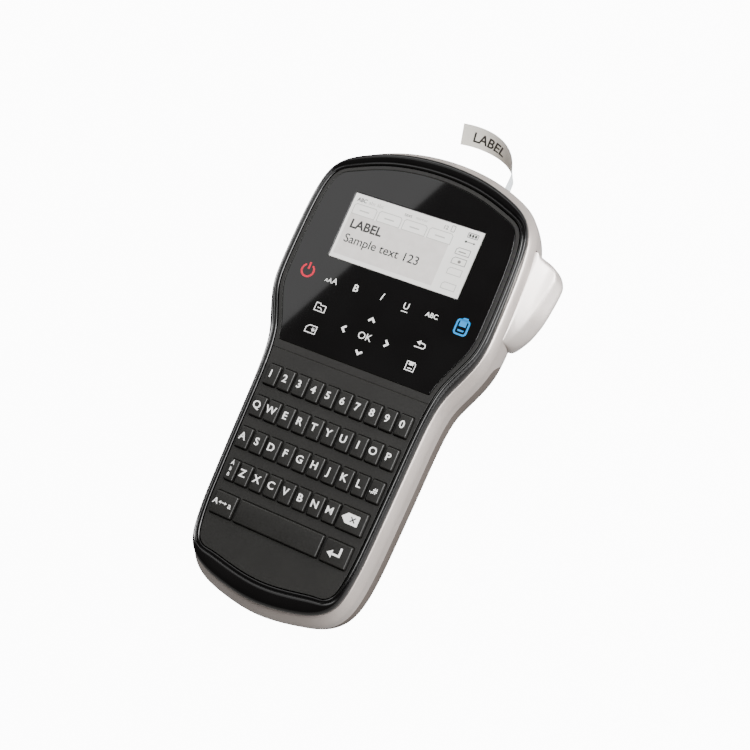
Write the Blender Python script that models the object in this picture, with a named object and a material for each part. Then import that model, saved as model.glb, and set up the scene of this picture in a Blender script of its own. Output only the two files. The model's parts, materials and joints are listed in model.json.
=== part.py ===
"""Handheld label maker: a keyboard label printer with a cutter lever on its right side.

It lies on its back with the keys up. The face frame is the front of the machine: X to the right,
Y towards the label slot, Z out of the face, with the keypad surface at Z = 0. That frame is tilted
so that the flat rear of the head and of the heel lie on the table, which is world Z = 0.
Lengths are in millimetres here and become metres when a mesh is made.
"""

import math

import bmesh
import bpy
import numpy as np

MM = 0.001

# Overall sizes
LENGTH = 203.0  # silver frame, end to end
HEAD_WIDTH = 96.4  # black rim across the head
HANDLE_WIDTH = 74.6  # black rim across the handle
HEEL_DEPTH = 31.0  # keypad surface to the rear, at HEEL_Y
HANDLE_DEPTH = 33.0  # keypad surface to the rear, along the grip
HEAD_DEPTH = 54.0  # keypad surface to the rear, at HEAD_Y
HEEL_Y = -90.0
HEAD_Y = 63.0
HUMP_START = 0.0  # where the rear starts to drop from the grip to the head
HUMP_END = 42.0
OUTLINE_POINTS = 112  # corners of every ring round the casing, a multiple of 4
CORNER_PASSES = 24  # averaging passes over the outline, at a point a millimetre
CORNER_CARE = 25.0  # a radian of turn gets as many of them as this much straight edge

# Casings
CLEAR = 0.3  # between pieces that don't move against each other
WALL = 2.0
PAST = 5.0  # how far a cut runs past the piece it cuts
SWELL_SIDE = 2.3  # how far the silver frame stands out past the rim, at the sides
SWELL_END = 4.5  # and at the two ends
SWELL_HEIGHT = 7.0  # the frame reaches that far out over this much depth
RIM_SIDE = 2.7  # width of the black rim's visible band at the sides
RIM_TOP = 6.2
RIM_HEEL = 8.4
RIM_HEIGHT = 0.7  # crown of the rim above the keypad surface
RIM_SHOULDER = 1.2  # width of the rounding outside the crown
LEDGE_SIDE = 0.1  # shelf inside the rim under the keypad plate, beside the keys
LEDGE_END = 2.4  # and at the two ends
LEDGE_THICKNESS = 1.5
SILVER_GRIP = 17.0  # depth of the silver frame's lower edge along the grip
SILVER_HEAD = 38.0  # and round the head
SILVER_RAMP = (24.0, 36.0)  # where that edge drops from one to the other
GRIP_ROUNDING = (10.0, 7.0)  # height and width of the rear edge's rounding at the grip
HEAD_ROUNDING = (40.0, 16.0)

# Face
PLATE = 2.2  # keypad plate thickness
PANEL_RING = 1.8  # visible plate round the gloss panel
PANEL_BOTTOM = 3.9
PANEL = 1.1  # gloss panel thickness
PANEL_PROUD = 0.1
WINDOW = (59.4, 29.8)
WINDOW_TOP = 23.6  # from the rim's top edge to the window's top edge
GLASS_RECESS = 0.15
DISPLAY_BORDER = 3.0  # module outside the glass
DISPLAY_DEPTH = 7.2

# Keys
KEY = (5.6, 9.1)
KEY_PITCH = 6.68
ROW_PITCH = 13.9
FIRST_ROW_Y = -11.3
KEY_HEIGHT = 1.4
KEY_FLARE = 0.22  # how much smaller the top is than the foot, each side
KEY_EDGE = 0.35  # rounding of the top edge
KEY_CLEAR = 0.25
KEY_FLANGE = 0.25  # flange under the plate, outside the key, each side
FLANGE_GAP = 0.5
FLANGE = 1.0
KEY_TRAVEL = 1.0
WIDE_KEY_HEIGHT = 9.6
CAPS = (-26.2, 10.2)  # centre and width
SPACE = (-0.8, 38.4)
ENTER = (25.3, 11.6)
BACKSPACE = (26.0, 11.6)
ACCENT = (-29.1, 4.4)

# Cutter lever, on the right of the head
LEVER_PIVOT = (45.6, 39.4)
LEVER_TIP_Y = 36.6
LEVER_TOP_Y = 75.6
LEVER_FRONT = 10.6  # depth of its front face where it meets the casing
LEVER_EDGE = 17.4  # depth of the ridge between the front face and the thumb face
LEVER_REAR = 31.0
LEVER_REACH = 62.3  # furthest X of the thumb face
LEVER_INNER = 43.2
LEVER_HUB = 3.2
LEVER_CLEAR = 0.6
LEVER_LINE = 1.6  # the front face meets the casing this far outside the rim
LEVER_FRONT_SLOPE = 2.2  # how much deeper that line is at the tip
# share of the length from the tip, then how far the ridge and the thumb face stand out, in shares
LEVER_STATIONS = (
    (0.0, 0.02, 0.10),
    (0.03, 0.10, 0.25),
    (0.09, 0.20, 0.43),
    (0.2, 0.32, 0.65),
    (0.37, 0.46, 0.84),
    (0.55, 0.57, 0.94),
    (0.76, 0.68, 1.0),
    (0.85, 0.70, 0.93),
    (0.93, 0.61, 0.73),
    (0.975, 0.38, 0.45),
    (1.0, 0.06, 0.12),
)

# Label path, along Y at one X
LABEL_X = 24.5
LABEL_WIDTH = 9.0
LABEL_THICKNESS = 0.3
LABEL_DEPTH = 20.0  # centre of the label's width
SLOT_WIDTH = 2.6
LABEL_START = 29.0  # from the rim's top edge down to the label's inner end
PLATEN_RADIUS = 4.0
PLATEN_FROM_TOP = 18.0
ROLLER_GAP = 0.1
HEAD_BLOCK = (3.0, 10.0, 10.0)
BLADE_FROM_TOP = 9.0
BLADE_THICKNESS = 0.8
BLADE_TRAVEL = 3.0
BLADE_FOOT = 1.6  # how far its carrier reaches back towards the roller
BLADE_PAST_LABEL = 0.6  # at each edge of the label, clear of the gear beside it
BLADE_STOP = 0.6  # blade edge to the middle of the label when the lever is pressed in
GEAR_TEETH = 24
PINION_TEETH = 12
GEAR_MODULE = 0.5
GEAR_WIDTH = 3.0
GEAR_BACKLASH = 0.12
MOTOR_RADIUS = 6.5
MOTOR_LENGTH = 12.0

# Inner pieces
CASSETTE = (46.0, 36.0, 15.0)
CASSETTE_FROM_TOP = 19.0
CASSETTE_RIGHT = 21.0
BOARD = (58.0, 1.2)  # width and thickness
BOARD_ENDS = (-76.0, 36.0)
BATTERY = (50.0, 56.0, 13.0)
BATTERY_Y = -43.0
CASSETTE_DOOR = (58.0, 36.0)
BATTERY_DOOR = (50.0, 58.0)
DOOR_THICKNESS = 1.8

RIM_BOTTOM = PLATE + CLEAR + LEDGE_THICKNESS
TOP = LENGTH / 2 - SWELL_END
HEAD_HALF = HEAD_WIDTH / 2
HANDLE_HALF = HANDLE_WIDTH / 2
REST_SLOPE = (HEAD_DEPTH - HEEL_DEPTH) / (HEAD_Y - HEEL_Y)
TILT = math.atan(REST_SLOPE)

# Right half of the rim's outer edge, from the top of the head to the end of the handle
RIM_HALF = (
    (0, TOP),
    (20, TOP - 2.2),
    (HEAD_HALF - 11, TOP - 8.6),
    (HEAD_HALF - 3.8, TOP - 15),
    (HEAD_HALF - 0.9, TOP - 26),
    (HEAD_HALF, TOP - 42),
    (HEAD_HALF, 33),
    (HEAD_HALF - 1, 23.5),
    ((HEAD_HALF + HANDLE_HALF) / 2 + 0.8, 13.6),
    (HANDLE_HALF + 2.4, 4.6),
    (HANDLE_HALF + 0.9, -4),
    (HANDLE_HALF + 0.2, -16),
    (HANDLE_HALF - 0.3, -38),
    (HANDLE_HALF - 0.9, 38 - TOP),
    (HANDLE_HALF - 1.6, 25 - TOP),
    (HANDLE_HALF - 4.0, 11.5 - TOP),
    (HANDLE_HALF - 10.6, 5.2 - TOP),
    (14, 1.6 - TOP),
    (0, -TOP),
)


def catmull_rom(points, steps):
    """A smooth curve through the points, with steps samples in each span."""
    p = np.array(points, float)
    p = np.vstack([2 * p[0] - p[1], p, 2 * p[-1] - p[-2]])
    t = np.arange(steps)[:, None] / steps
    spans = []
    for a, b, c, d in zip(p[:-3], p[1:-2], p[2:-1], p[3:]):
        spans.append(0.5 * (2 * b + (c - a) * t + (2 * a - 5 * b + 4 * c - d) * t**2
                            + (3 * b - a - 3 * c + d) * t**3))
    return np.vstack(spans + [p[-2:-1]])


def smoothed(loop, passes):
    """A closed loop of points averaged with their neighbours, so that no corner stays tight."""
    for _ in range(passes):
        loop = (np.roll(loop, 1, axis=0) + 2 * loop + np.roll(loop, -1, axis=0)) / 4
    return loop


def along(points, run, count):
    """count points of an open line, evenly spaced by run, a length that grows along it."""
    at = np.linspace(0, run[-1], count)
    return np.stack([np.interp(at, run, points[:, k]) for k in (0, 1)], axis=1)


def rim_outline(count):
    """Rim's outer edge as count points, clockwise from the top centre, the left half mirrored."""
    before, after = ((-x, y) for x, y in (RIM_HALF[1], RIM_HALF[-2]))
    half = catmull_rom([before, *RIM_HALF, after], 24)[24:-24]
    length = np.concatenate([[0], np.cumsum(np.linalg.norm(np.diff(half, axis=0), axis=1))])
    half = along(half, length, int(length[-1]) + 1)
    loop = smoothed(np.vstack([half, half[-2:0:-1] * (-1, 1)]), CORNER_PASSES)
    half = loop[: len(half)]
    step = np.diff(half, axis=0)
    turn = np.abs(np.gradient(np.unwrap(np.arctan2(step[:, 1], step[:, 0]))))
    run = np.concatenate([[0], np.cumsum(np.linalg.norm(step, axis=1) + CORNER_CARE * turn)])
    half = along(half, run, count // 2 + 1)
    half[[0, -1], 0] = 0
    return np.vstack([half, half[-2:0:-1] * (-1, 1)])


def outward(outline):
    """Unit normals of a clockwise outline."""
    tangent = np.roll(outline, -1, axis=0) - np.roll(outline, 1, axis=0)
    normal = np.stack([-tangent[:, 1], tangent[:, 0]], axis=1)
    return normal / np.linalg.norm(normal, axis=1)[:, None]


RIM = rim_outline(OUTLINE_POINTS)
NORMAL = outward(RIM)
SOFT_NORMAL = smoothed(NORMAL, 12)
TOWARDS_TOP = np.clip(NORMAL[:, 1], 0, 1) ** 2
TOWARDS_HEEL = np.clip(-NORMAL[:, 1], 0, 1) ** 2
SWELL = SWELL_SIDE + (SWELL_END - SWELL_SIDE) * (TOWARDS_TOP + TOWARDS_HEEL)
LEDGE = LEDGE_SIDE + (LEDGE_END - LEDGE_SIDE) * (TOWARDS_TOP + TOWARDS_HEEL)
RIM_WIDTH = RIM_SIDE + (RIM_TOP - RIM_SIDE) * TOWARDS_TOP + (RIM_HEEL - RIM_SIDE) * TOWARDS_HEEL


def shifted(distance):
    """The rim outline moved outwards by a distance, one number or one for each point."""
    return RIM + NORMAL * np.broadcast_to(distance, len(RIM))[:, None]


def ease(x, low, high):
    """0 below low, 1 above high, and smooth in between."""
    t = np.clip((np.asarray(x, float) - low) / (high - low), 0, 1)
    return t * t * (3 - 2 * t)


def rest_depth(y):
    """Depth of the table plane under the face."""
    return HEEL_DEPTH + REST_SLOPE * (np.asarray(y, float) - HEEL_Y)


def rear_depth(y):
    """Depth of the casing's rear: on the table at the heel and the head, level along the grip."""
    y = np.asarray(y, float)
    low = np.minimum(rest_depth(y), HANDLE_DEPTH)
    return low + (rest_depth(y) - low) * ease(y, HUMP_START, HUMP_END)


def silver_edge(y):
    """Depth of the seam between the silver frame and the rear cover."""
    return SILVER_GRIP + (SILVER_HEAD - SILVER_GRIP) * ease(y, *SILVER_RAMP)


def casing_ring(depth, inset=0.0):
    """Points of the casing's outer surface at a depth (one number or one a point), moved inwards."""
    depth = np.broadcast_to(depth, len(RIM)).astype(float)
    rear = rear_depth(RIM[:, 1])
    head = (rear - HANDLE_DEPTH) / (HEAD_DEPTH - HANDLE_DEPTH)
    head = np.clip(head, 0, 1)
    height = GRIP_ROUNDING[0] + (HEAD_ROUNDING[0] - GRIP_ROUNDING[0]) * head
    width = GRIP_ROUNDING[1] + (HEAD_ROUNDING[1] - GRIP_ROUNDING[1]) * head
    rise = np.sin(np.pi / 2 * np.clip((depth - RIM_BOTTOM) / SWELL_HEIGHT, 0, 1))
    tuck = width * (1 - np.sqrt(1 - np.clip((depth - rear + height) / height, 0, 1) ** 2))
    xy = shifted(SWELL * rise) - SOFT_NORMAL * (tuck + inset)[:, None]
    return np.column_stack([xy, -depth])


# ---------------------------------------------------------------- making objects

def clear_scene():
    for obj in list(bpy.data.objects):
        bpy.data.objects.remove(obj, do_unlink=True)


def frame_empty(name, rotation=0.0, offset=(0.0, 0.0, 0.0)):
    empty = bpy.data.objects.new(name, None)
    bpy.context.scene.collection.objects.link(empty)
    empty.rotation_euler = (rotation, 0, 0)
    empty.location = [v * MM for v in offset]
    return empty


def material(name, colour, roughness, metallic=0.0):
    mat = bpy.data.materials.new(name)
    mat.use_nodes = True
    shader = mat.node_tree.nodes["Principled BSDF"]
    shader.inputs["Base Color"].default_value = (*colour, 1)
    shader.inputs["Roughness"].default_value = roughness
    shader.inputs["Metallic"].default_value = metallic
    return mat


def solid(name, vertices, faces, parent, finish, origin=(0.0, 0.0, 0.0), sharp=35.0):
    """An object from points in millimetres, with its origin where it is hinged or guided."""
    mesh = bpy.data.meshes.new(name)
    points = (np.array(vertices, float) - origin) * MM
    mesh.from_pydata(points.tolist(), [], [list(map(int, f)) for f in faces])
    bm = bmesh.new()
    bm.from_mesh(mesh)
    bmesh.ops.recalc_face_normals(bm, faces=bm.faces)
    bm.to_mesh(mesh)
    bm.free()
    mesh.shade_smooth()
    mesh.set_sharp_from_angle(angle=math.radians(sharp))
    obj = bpy.data.objects.new(name, mesh)
    bpy.context.scene.collection.objects.link(obj)
    obj.parent = parent
    obj.location = [v * MM for v in origin]
    if finish:
        mesh.materials.append(finish)
    return obj


def strip_faces(rings, count, closed):
    """Quads between neighbouring rings of count points. closed joins the last ring to the first."""
    i = np.arange(count)
    j = (i + 1) % count
    pairs = [(a, (a + 1) % rings) for a in range(rings if closed else rings - 1)]
    return np.vstack([np.column_stack([a * count + i, a * count + j, b * count + j, b * count + i])
                      for a, b in pairs]).tolist()


def ring_solid(name, rings, parent, finish):
    """A closed band: its section is the loop that the rings make."""
    count = len(rings[0])
    return solid(name, np.vstack(rings), strip_faces(len(rings), count, True), parent, finish)


def across_faces(first, count):
    """Quads that close a mirrored ring, each joining two points on the right to two on the left."""
    faces = [(first, first + 1, first + count - 1)]
    for i in range(1, count // 2 - 1):
        faces.append((first + i, first + i + 1, first + count - i - 1, first + count - i))
    faces.append((first + count // 2 - 1, first + count // 2, first + count // 2 + 1))
    return faces


def prism(name, outline, low, high, parent, finish, origin=(0.0, 0.0, 0.0)):
    """An outline in X and Y, extruded from one height to another."""
    outline = np.array(outline, float)
    count = len(outline)
    rings = [np.column_stack([outline, np.full(count, z)]) for z in (low, high)]
    faces = strip_faces(2, count, False) + [list(range(count)), list(range(count, 2 * count))]
    return solid(name, np.vstack(rings), faces, parent, finish, origin)


def loft(name, sections, parent, finish, origin=(0.0, 0.0, 0.0)):
    """Sections of equal point count, joined in order and capped at both ends."""
    count = len(sections[0])
    last = (len(sections) - 1) * count
    faces = strip_faces(len(sections), count, False)
    faces += [list(range(count)), list(range(last, last + count))]
    return solid(name, np.vstack(sections), faces, parent, finish, origin)


def rectangle(centre, size):
    (x, y), (w, h) = centre, (size[0] / 2, size[1] / 2)
    return [(x - w, y - h), (x + w, y - h), (x + w, y + h), (x - w, y + h)]


def rounded_rectangle(centre, size, radius, steps=4):
    points = []
    for k, (sx, sy) in enumerate(((1, 1), (-1, 1), (-1, -1), (1, -1))):
        cx = centre[0] + sx * (size[0] / 2 - radius)
        cy = centre[1] + sy * (size[1] / 2 - radius)
        for s in range(steps + 1):
            a = math.pi / 2 * (k + s / steps)
            points.append((cx + radius * math.cos(a), cy + radius * math.sin(a)))
    return points


def circle(centre, radius, count):
    a = np.arange(count) * 2 * np.pi / count
    return np.column_stack([centre[0] + radius * np.cos(a), centre[1] + radius * np.sin(a)])


def cutter(obj):
    obj.hide_render = True
    obj.display_type = "WIRE"
    return obj


def boolean(obj, other, operation="DIFFERENCE"):
    mod = obj.modifiers.new(other.name, "BOOLEAN")
    mod.operation = operation
    mod.solver = "EXACT"
    mod.object = cutter(other)


# ---------------------------------------------------------------- casings

def make_front_case(face, finish):
    """Gloss black rim round the whole face, crowned, with a shelf inside for the keypad plate."""
    inner = RIM_WIDTH
    crown = RIM_HEIGHT
    # each point is the distance inwards from the outline, then the height
    section = [
        (0.0, -RIM_BOTTOM),
        (0.0, crown - 3.3),
        (0.3 * RIM_SHOULDER, crown - 1.7),
        (RIM_SHOULDER, crown - 0.4),
        (0.55 * inner, crown),
        (inner - 0.9, crown - 0.4),
        (inner - 0.2, crown - 1.0),
        (inner, crown - 1.5),
        (inner, -PLATE - CLEAR),
        (inner + LEDGE, -PLATE - CLEAR),
        (inner + LEDGE, -RIM_BOTTOM),
    ]
    rings = [np.column_stack([shifted(-d), np.full(len(RIM), z)]) for d, z in section]
    ring_solid("front_case", rings, face, finish)


def make_side_frame(face, finish):
    """Silver band between the rim and the rear cover, with the lever's window and the label slot."""
    edge = silver_edge(RIM[:, 1])
    top = RIM_BOTTOM + CLEAR
    full = top + SWELL_HEIGHT
    outer = [casing_ring(d) for d in (top, top + 1.2, top + 3.2, full, (full + edge) / 2, edge)]
    inner = [casing_ring(d, WALL) for d in (edge, (full + edge) / 2, full, top + WALL)]
    shelf = np.column_stack([shifted(-RIM_WIDTH), np.full(len(RIM), -top - WALL)])
    shelf_top = np.column_stack([shifted(-RIM_WIDTH), np.full(len(RIM), -top)])
    frame = ring_solid("side_frame", outer + inner + [shelf, shelf_top], face, finish)
    window = rectangle(((LEVER_PIVOT[0] + LEVER_REACH) / 2, (LEVER_TIP_Y + LEVER_TOP_Y) / 2),
                       (LEVER_REACH - LEVER_PIVOT[0] + 12, LEVER_TOP_Y - LEVER_TIP_Y + 2 * LEVER_CLEAR))
    boolean(frame, prism("cut_lever_window", window, -LEVER_REAR - LEVER_CLEAR,
                         -LEVER_FRONT + LEVER_CLEAR, face, None))
    slot = rectangle((LABEL_X, TOP), (SLOT_WIDTH, 30.0))
    boolean(frame, prism("cut_label_slot", slot, -LABEL_DEPTH - LABEL_WIDTH / 2 - 1,
                         -LABEL_DEPTH + LABEL_WIDTH / 2 + 1, face, None))


def make_rear_cover(face, table, finish):
    """Tray that closes the back: walls tucked in to a flat rear, open at the two doors."""
    edge = silver_edge(RIM[:, 1]) + CLEAR
    rear = rear_depth(RIM[:, 1])
    outer = [casing_ring(edge + (rear - edge) * s) for s in (0, 0.4, 0.7, 0.88, 0.97)]
    rim_ring = casing_ring(rear)
    rim_ring[:, 2] = -rear_depth(rim_ring[:, 1])
    floor = casing_ring(rear, WALL)
    floor[:, 2] = WALL - rear_depth(floor[:, 1])
    inner = [casing_ring(edge + (rear - edge) * s, WALL) for s in (0.88, 0.7, 0.4, 0)]
    rings = outer + [rim_ring, floor] + inner
    count = len(RIM)
    walls = strip_faces(len(rings), count, True)
    shut = [f for f in walls if {v // count for v in f} != {5, 6}]
    faces = shut + across_faces(5 * count, count) + across_faces(6 * count, count)
    cover = solid("rear_cover", np.vstack(rings), faces, face, finish)
    for name, size, centre, parent in (
        ("cut_cassette_bay", CASSETTE_DOOR, cassette_door_centre(), table),
        ("cut_battery_bay", BATTERY_DOOR, (0, BATTERY_Y), face),
    ):
        opening = rectangle(centre, (size[0] + 2 * CLEAR, size[1] + 2 * CLEAR))
        rear = 0.0 if parent is table else -HANDLE_DEPTH
        low, high = rear - 2 * PAST, rear + WALL + PAST
        boolean(cover, prism(name, opening, low, high, parent, None))


def to_table(y, z):
    """Y and Z in the face frame, given in the table frame, both in millimetres."""
    low = rest_depth(HEEL_Y)
    dy, dz = y - HEEL_Y, z + low
    return dy * math.cos(TILT) - dz * math.sin(TILT), dy * math.sin(TILT) + dz * math.cos(TILT)


def cassette_door_centre():
    return 0.0, to_table(HEAD_Y, -HEAD_DEPTH)[0]


def make_cassette_door(table, finish):
    """Flat door in the rear of the head, hinged along its lower edge."""
    x, y = cassette_door_centre()
    outline = rounded_rectangle((x, y), CASSETTE_DOOR, 3.0)
    hinge = (0.0, y - CASSETTE_DOOR[1] / 2, CLEAR)
    prism("cassette_door", outline, CLEAR, CLEAR + DOOR_THICKNESS, table, finish, hinge)


def make_battery_door(face, finish):
    """Flat door in the rear of the grip, hinged along its lower edge."""
    outline = rounded_rectangle((0, BATTERY_Y), BATTERY_DOOR, 3.0)
    hinge = (0.0, BATTERY_Y - BATTERY_DOOR[1] / 2, -HANDLE_DEPTH)
    prism("battery_door", outline, -HANDLE_DEPTH, -HANDLE_DEPTH + DOOR_THICKNESS, face, finish, hinge)


# ---------------------------------------------------------------- face

def window_centre():
    return 0.0, TOP - WINDOW_TOP - WINDOW[1] / 2


def panel_outline(gap):
    """Outline of the gloss panel, or of its pocket with a gap: it follows the rim down to a straight edge."""
    points = shifted(-(RIM_WIDTH + CLEAR + PANEL_RING - gap))
    bottom = PANEL_BOTTOM - gap
    half = [p for p in points[: len(RIM) // 2] if p[1] > bottom + 0.5]
    last = half[-1]
    after = points[len(half)]
    x = last[0] + (after[0] - last[0]) * (last[1] - bottom) / (last[1] - after[1])
    half.append(np.array((x, bottom)))
    return np.array(half + [p * (-1, 1) for p in half[:0:-1]])


def key_table():
    """Every key as (name, centre, size), in rows from the digits down to the space bar."""
    rows = ("1234567890", "QWERTYUIOP", "ASDFGHJKL.", " ZXCVBNM")
    keys = []
    for r, letters in enumerate(rows):
        for c, letter in enumerate(letters):
            name = "key_" + {".": "symbols"}.get(letter, letter.lower())
            if letter != " ":
                keys.append((name, ((c - 4.5) * KEY_PITCH, FIRST_ROW_Y - r * ROW_PITCH), KEY))
    row3 = FIRST_ROW_Y - 3 * ROW_PITCH
    row4 = FIRST_ROW_Y - 4 * ROW_PITCH
    keys.append(("key_accent", (ACCENT[0], row3), (ACCENT[1], KEY[1])))
    keys.append(("key_backspace", (BACKSPACE[0], row3), (BACKSPACE[1], WIDE_KEY_HEIGHT)))
    keys.append(("key_caps", (CAPS[0], row4), (CAPS[1], WIDE_KEY_HEIGHT)))
    keys.append(("key_space", (SPACE[0], row4), (SPACE[1], WIDE_KEY_HEIGHT)))
    keys.append(("key_enter", (ENTER[0], row4), (ENTER[1], WIDE_KEY_HEIGHT)))
    return keys


def make_keypad_plate(face, finish):
    """Matt plate that fills the rim: a pocket for the panel and one opening for each key."""
    plate = prism("keypad_plate", shifted(-(RIM_WIDTH + CLEAR)), -PLATE, 0, face, finish)
    boolean(plate, prism("cut_panel_pocket", panel_outline(KEY_CLEAR), -PANEL - CLEAR, PAST, face, None))
    glass = (WINDOW[0] + 2 * CLEAR, WINDOW[1] + 2 * CLEAR)
    boolean(plate, prism("cut_display", rectangle(window_centre(), glass), -PLATE - PAST, PAST, face, None))
    points, faces = [], []
    for _, centre, size in key_table():
        corners = rectangle(centre, (size[0] + 2 * KEY_CLEAR, size[1] + 2 * KEY_CLEAR))
        first = len(points)
        points += [(x, y, z) for z in (-PLATE - PAST, PAST) for x, y in corners]
        faces += [[first + v for v in f] for f in
                  ((0, 1, 2, 3), (4, 5, 6, 7), (0, 1, 5, 4), (1, 2, 6, 5), (2, 3, 7, 6), (3, 0, 4, 7))]
    boolean(plate, solid("cut_keys", points, faces, face, None))


def make_control_panel(face, finish):
    """Gloss panel with the flush function keys, open over the display."""
    panel = prism("control_panel", panel_outline(0.0), -PANEL, PANEL_PROUD, face, finish)
    boolean(panel, prism("cut_window", rectangle(window_centre(), WINDOW), -PAST, PAST, face, None))


def make_display(face, finish):
    """Display module: a wide base under the plate, and its glass up in the panel's window."""
    glass = (WINDOW[0] - 2 * CLEAR, WINDOW[1] - 2 * CLEAR)
    base = (WINDOW[0] + 2 * DISPLAY_BORDER, WINDOW[1] + 2 * DISPLAY_BORDER)
    step = -PLATE - CLEAR
    sections = [np.column_stack([rectangle(window_centre(), size), np.full(4, z)]) for size, z in
                ((base, -DISPLAY_DEPTH), (base, step), (glass, step), (glass, -GLASS_RECESS))]
    loft("display_module", sections, face, finish)


def make_keys(face, finish):
    """One sprung key for each opening, with a flange that holds it under the plate."""
    flange_top = -PLATE - FLANGE_GAP
    for name, (x, y), (w, h) in key_table():
        grown = (w + 2 * KEY_FLANGE, h + 2 * KEY_FLANGE)
        flared = (w - 2 * KEY_FLARE, h - 2 * KEY_FLARE)
        crown = (flared[0] - 2 * KEY_EDGE, flared[1] - 2 * KEY_EDGE)
        levels = ((grown, flange_top - FLANGE), (grown, flange_top), ((w, h), flange_top), ((w, h), 0.0),
                  (flared, KEY_HEIGHT - KEY_EDGE), (crown, KEY_HEIGHT))
        sections = [np.column_stack([rectangle((x, y), size), np.full(4, z)]) for size, z in levels]
        loft(name, sections, face, finish, (x, y, 0.0))


# ---------------------------------------------------------------- cutter

def lever_section(share, ridge, thumb):
    """The lever's section at a share of its length: casing line, ridge, thumb face and rear.

    ridge and thumb are how far those two stand out, as shares of the lever's reach.
    """
    y = LEVER_TIP_Y + share * (LEVER_TOP_Y - LEVER_TIP_Y)
    line = HEAD_HALF + LEVER_LINE
    reach = LEVER_REACH - line
    front = LEVER_FRONT + LEVER_FRONT_SLOPE * (1 - share)
    ridge_x, thumb_x = line + ridge * reach, line + thumb * reach
    return np.array([(LEVER_INNER, y, -front), (line, y, -front), (ridge_x, y, -LEVER_EDGE),
                     (thumb_x, y, -LEVER_EDGE - 6), (thumb_x - 1.6 * thumb, y, -LEVER_REAR + 2.5),
                     (thumb_x - 3.6 * thumb, y, -LEVER_REAR), (LEVER_INNER, y, -LEVER_REAR)])


def make_lever(face, finish):
    """Cutter lever: a wedge hinged at its narrow lower end and pressed in at the top."""
    sections = [lever_section(*station) for station in LEVER_STATIONS]
    pivot = (*LEVER_PIVOT, 0.0)
    lever = loft("cutter_lever", sections, face, finish, pivot)
    hub = prism("add_lever_hub", circle(LEVER_PIVOT, LEVER_HUB, 16), -LEVER_REAR - CLEAR,
                -LEVER_FRONT - 3.5, face, None, pivot)
    boolean(lever, hub, "UNION")


def make_blade(face, finish):
    """Blade beside the label path, on a carrier that the lever drives across it."""
    edge = LABEL_X + BLADE_STOP + BLADE_TRAVEL
    y = TOP - BLADE_FROM_TOP
    t = BLADE_THICKNESS / 2
    outline = [(edge, y), (edge + 2, y - t), (edge + 4.5, y - t), (edge + 4.5, y - BLADE_FOOT),
               (edge + 7, y - BLADE_FOOT), (edge + 7, y + t), (edge + 2, y + t)]
    half = LABEL_WIDTH / 2 + BLADE_PAST_LABEL
    prism("cutter_blade", outline, -LABEL_DEPTH - half, -LABEL_DEPTH + half, face, finish, (edge, y, -LABEL_DEPTH))


# ---------------------------------------------------------------- printing parts

def label_path():
    """Centre line of the label and the direction of its width, from its inner end to its cut end."""
    straight = TOP + 8.0
    start = np.array((LABEL_X, TOP - LABEL_START, -LABEL_DEPTH))
    points = [start, (LABEL_X, TOP - 10, -LABEL_DEPTH), (LABEL_X, TOP, -LABEL_DEPTH)]
    t = np.linspace(0, 1, 49)[:, None]
    a = np.array((LABEL_X, straight, -LABEL_DEPTH))
    b = np.array((LABEL_X - 2.5, straight + 9.5, -LABEL_DEPTH))
    c = np.array((LABEL_X - 12, straight + 14, -LABEL_DEPTH + 3))
    d = np.array((LABEL_X - 27, straight + 11.5, -LABEL_DEPTH + 5))
    curl = (1 - t) ** 3 * a + 3 * (1 - t) ** 2 * t * b + 3 * (1 - t) * t**2 * c + t**3 * d
    points = np.vstack([points, curl])
    twist = np.concatenate([np.zeros(3), np.radians(62) * ease(t[:, 0], -0.15, 1.0)])
    return points, twist


def make_label(face, finish):
    """Printed label: a straight stretch through the machine, then a free end that curls over."""
    points, twist = label_path()
    tangent = np.gradient(points, axis=0)
    tangent /= np.linalg.norm(tangent, axis=1)[:, None]
    side = np.cross(tangent, (0.0, 0.0, 1.0))
    side /= np.linalg.norm(side, axis=1)[:, None]
    up = np.cross(side, tangent)
    width = up * np.cos(twist)[:, None] + side * np.sin(twist)[:, None]
    thick = np.cross(tangent, width)
    across = np.linspace(-LABEL_WIDTH / 2, LABEL_WIDTH / 2, 7)
    front = [points + width * v - thick * LABEL_THICKNESS / 2 for v in across]
    back = [points + width * v + thick * LABEL_THICKNESS / 2 for v in across[::-1]]
    sections = np.stack(front + back, axis=1)
    loft("label_tape", list(sections), face, finish, (LABEL_X, TOP, -LABEL_DEPTH))


def gear_outline(centre, teeth, phase):
    """Straight-flanked teeth round a pitch circle, thinned by the backlash."""
    pitch = GEAR_MODULE * teeth / 2
    half = math.pi / (2 * teeth) - GEAR_BACKLASH / (2 * pitch)
    add, ded = GEAR_MODULE, 1.25 * GEAR_MODULE
    slant = math.tan(math.radians(20))
    points = []
    for k in range(teeth):
        middle = phase + 2 * math.pi * k / teeth
        for r, side in ((pitch - ded, -1), (pitch + add * 0.85, -1), (pitch + add * 0.85, 1), (pitch - ded, 1)):
            a = middle + side * (half - (r - pitch) * slant / pitch)
            points.append((centre[0] + r * math.cos(a), centre[1] + r * math.sin(a)))
    return points


def platen_centre():
    return LABEL_X + LABEL_THICKNESS / 2 + ROLLER_GAP + PLATEN_RADIUS, TOP - PLATEN_FROM_TOP


def motor_centre():
    x, y = platen_centre()
    apart = GEAR_MODULE * (GEAR_TEETH + PINION_TEETH) / 2
    return x, y - apart


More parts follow.
